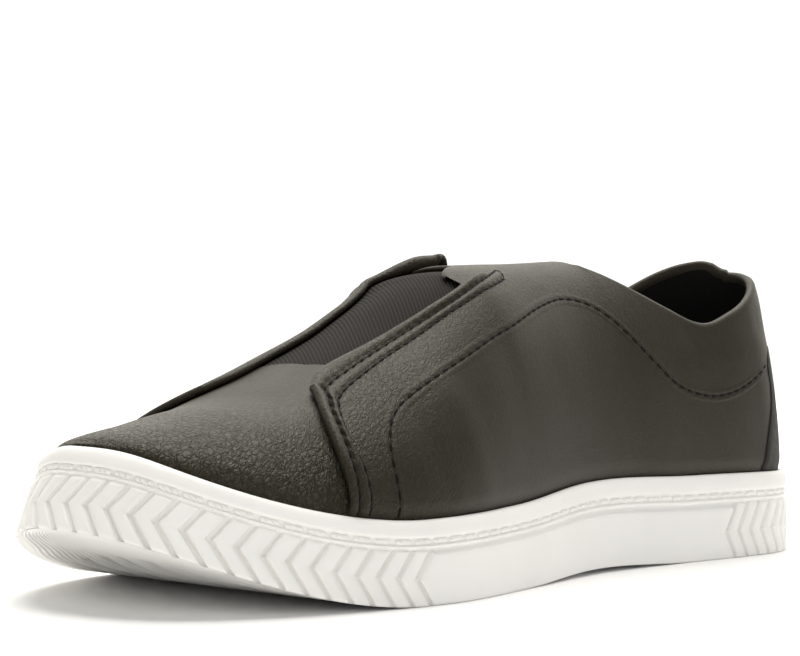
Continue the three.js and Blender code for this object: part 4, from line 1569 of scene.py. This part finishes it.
# Studio
WHITE = (1.0, 1.0, 1.0)
WARM = (1.0, 0.96, 0.86)
FLOOR_COLOUR = (0.93, 0.93, 0.93)
WORLD_LIGHT = 0.27
BACKDROP_LIGHT = 1.15
# Each sun: the way to it, its width in degrees, its strength and its colour
SUNS = {
    "overhead": ((-0.22, -0.18, 1.0), 50, 2.95, (1.0, 0.98, 0.93)),
    "front": ((0.30, 0.90, 0.30), 60, 0.55, WHITE),
    "toe": ((0.90, -0.10, 0.42), 30, 0.24, WARM),
}
# The lit wall behind the shoe: its place, the way to it, its width, height and power
WALL_PLACE = (-1.1, -0.9, 0.85)
WALL_WAY = (-1.1, -0.9, 0.70)
WALL_WIDTH = 3.2
WALL_HEIGHT = 1.6
WALL_POWER = 22


def add_camera(studio, heel_back):
    """The camera, turned by its heading, tilt and roll"""
    forward = Vector((
        math.cos(studio.pitch) * math.cos(studio.yaw), math.cos(studio.pitch) * math.sin(studio.yaw),
        math.sin(studio.pitch)))
    right = forward.cross(Vector((0, 0, 1))).normalized()
    up = right.cross(forward)
    turned_right = right * math.cos(studio.roll) + up * math.sin(studio.roll)
    turned_up = up * math.cos(studio.roll) - right * math.sin(studio.roll)
    data = bpy.data.cameras.new("camera")
    data.lens = studio.lens
    data.sensor_fit = "HORIZONTAL"
    data.sensor_width = 36
    data.clip_start = 0.01
    camera = linked("camera", data)
    place = Matrix.Translation((studio.ahead + heel_back, studio.aside, studio.above))
    rotation = Matrix((turned_right, turned_up, -forward)).transposed()
    camera.matrix_world = place @ rotation.to_4x4()
    bpy.context.scene.camera = camera


def add_world():
    """Even white light, and a brighter backdrop that only the camera sees"""
    world = bpy.data.worlds.new("studio")
    bpy.context.scene.world = world
    world.use_nodes = True
    nodes = world.node_tree.nodes
    links = world.node_tree.links
    path = nodes.new("ShaderNodeLightPath")
    mix = nodes.new("ShaderNodeMixShader")
    links.new(path.outputs["Is Camera Ray"], mix.inputs["Fac"])
    backdrop = nodes.new("ShaderNodeBackground")
    for number, node, strength in ((1, nodes["Background"], WORLD_LIGHT), (2, backdrop, BACKDROP_LIGHT)):
        node.inputs["Color"].default_value = (*WHITE, 1)
        node.inputs["Strength"].default_value = strength
        links.new(node.outputs[0], mix.inputs[number])
    links.new(mix.outputs[0], nodes["World Output"].inputs["Surface"])


def add_lamp(name, kind, way, strength, tint):
    """A lamp that shines from a direction"""
    light = bpy.data.lights.new(name, kind)
    light.energy = strength
    light.color = tint
    lamp = linked(name, light)
    lamp.rotation_euler = (-Vector(way)).to_track_quat("-Z", "Y").to_euler()
    return lamp


class SHOE_OT_stage(ShoeOperator, bpy.types.Operator):
    """Sets up the floor, the lights and the camera"""
    bl_idname = "shoe.stage"
    bl_label = "Studio"

    def execute(self, context):
        scene = bpy.context.scene
        add_camera(scene.shoe_studio, self.last.heel_back)
        bm = bmesh.new()
        bmesh.ops.create_grid(bm, x_segments=1, y_segments=1, size=30)
        floor = new_object("floor", bm, Finish("floor", FLOOR_COLOUR, 1.0).material, False)
        add_world()
        for name, (way, angle, strength, tint) in SUNS.items():
            sun = add_lamp(name, "SUN", way, strength, tint)
            sun.data.angle = math.radians(angle)
        wall = add_lamp("back_wall", "AREA", WALL_WAY, WALL_POWER, WARM)
        wall.data.shape = "RECTANGLE"
        wall.data.size = WALL_WIDTH
        wall.data.size_y = WALL_HEIGHT
        wall.location = WALL_PLACE
        scene.view_settings.view_transform = "Standard"
        return {"FINISHED"}


class SHOE_PT_panel(bpy.types.Panel):
    """The sneaker's pieces"""
    bl_idname = "SHOE_PT_panel"
    bl_label = "Sneaker"
    bl_space_type = "VIEW_3D"
    bl_region_type = "UI"
    bl_category = "Sneaker"

    def draw(self, context):
        for operator in OPERATORS:
            self.layout.operator(operator.bl_idname)


OPERATORS = (
    SHOE_OT_stage, SHOE_OT_sole, SHOE_OT_upper, SHOE_OT_gore, SHOE_OT_patch, SHOE_OT_insole,
)
CLASSES = (ShoeSizes, ShoeColours, StudioSizes, *OPERATORS, SHOE_PT_panel)


def register():
    for cls in CLASSES:
        bpy.utils.register_class(cls)
    bpy.types.Scene.shoe_sizes = PointerProperty(type=ShoeSizes)
    bpy.types.Scene.shoe_colours = PointerProperty(type=ShoeColours)
    bpy.types.Scene.shoe_studio = PointerProperty(type=StudioSizes)


def unregister():
    del bpy.types.Scene.shoe_studio
    del bpy.types.Scene.shoe_colours
    del bpy.types.Scene.shoe_sizes
    for cls in reversed(CLASSES):
        bpy.utils.unregister_class(cls)


def main():
    register()
    bpy.ops.shoe.stage()
    bpy.ops.shoe.sole()
    bpy.ops.shoe.upper()
    bpy.ops.shoe.gore()
    bpy.ops.shoe.patch()
    bpy.ops.shoe.insole()


if __name__ == "__main__":
    main()
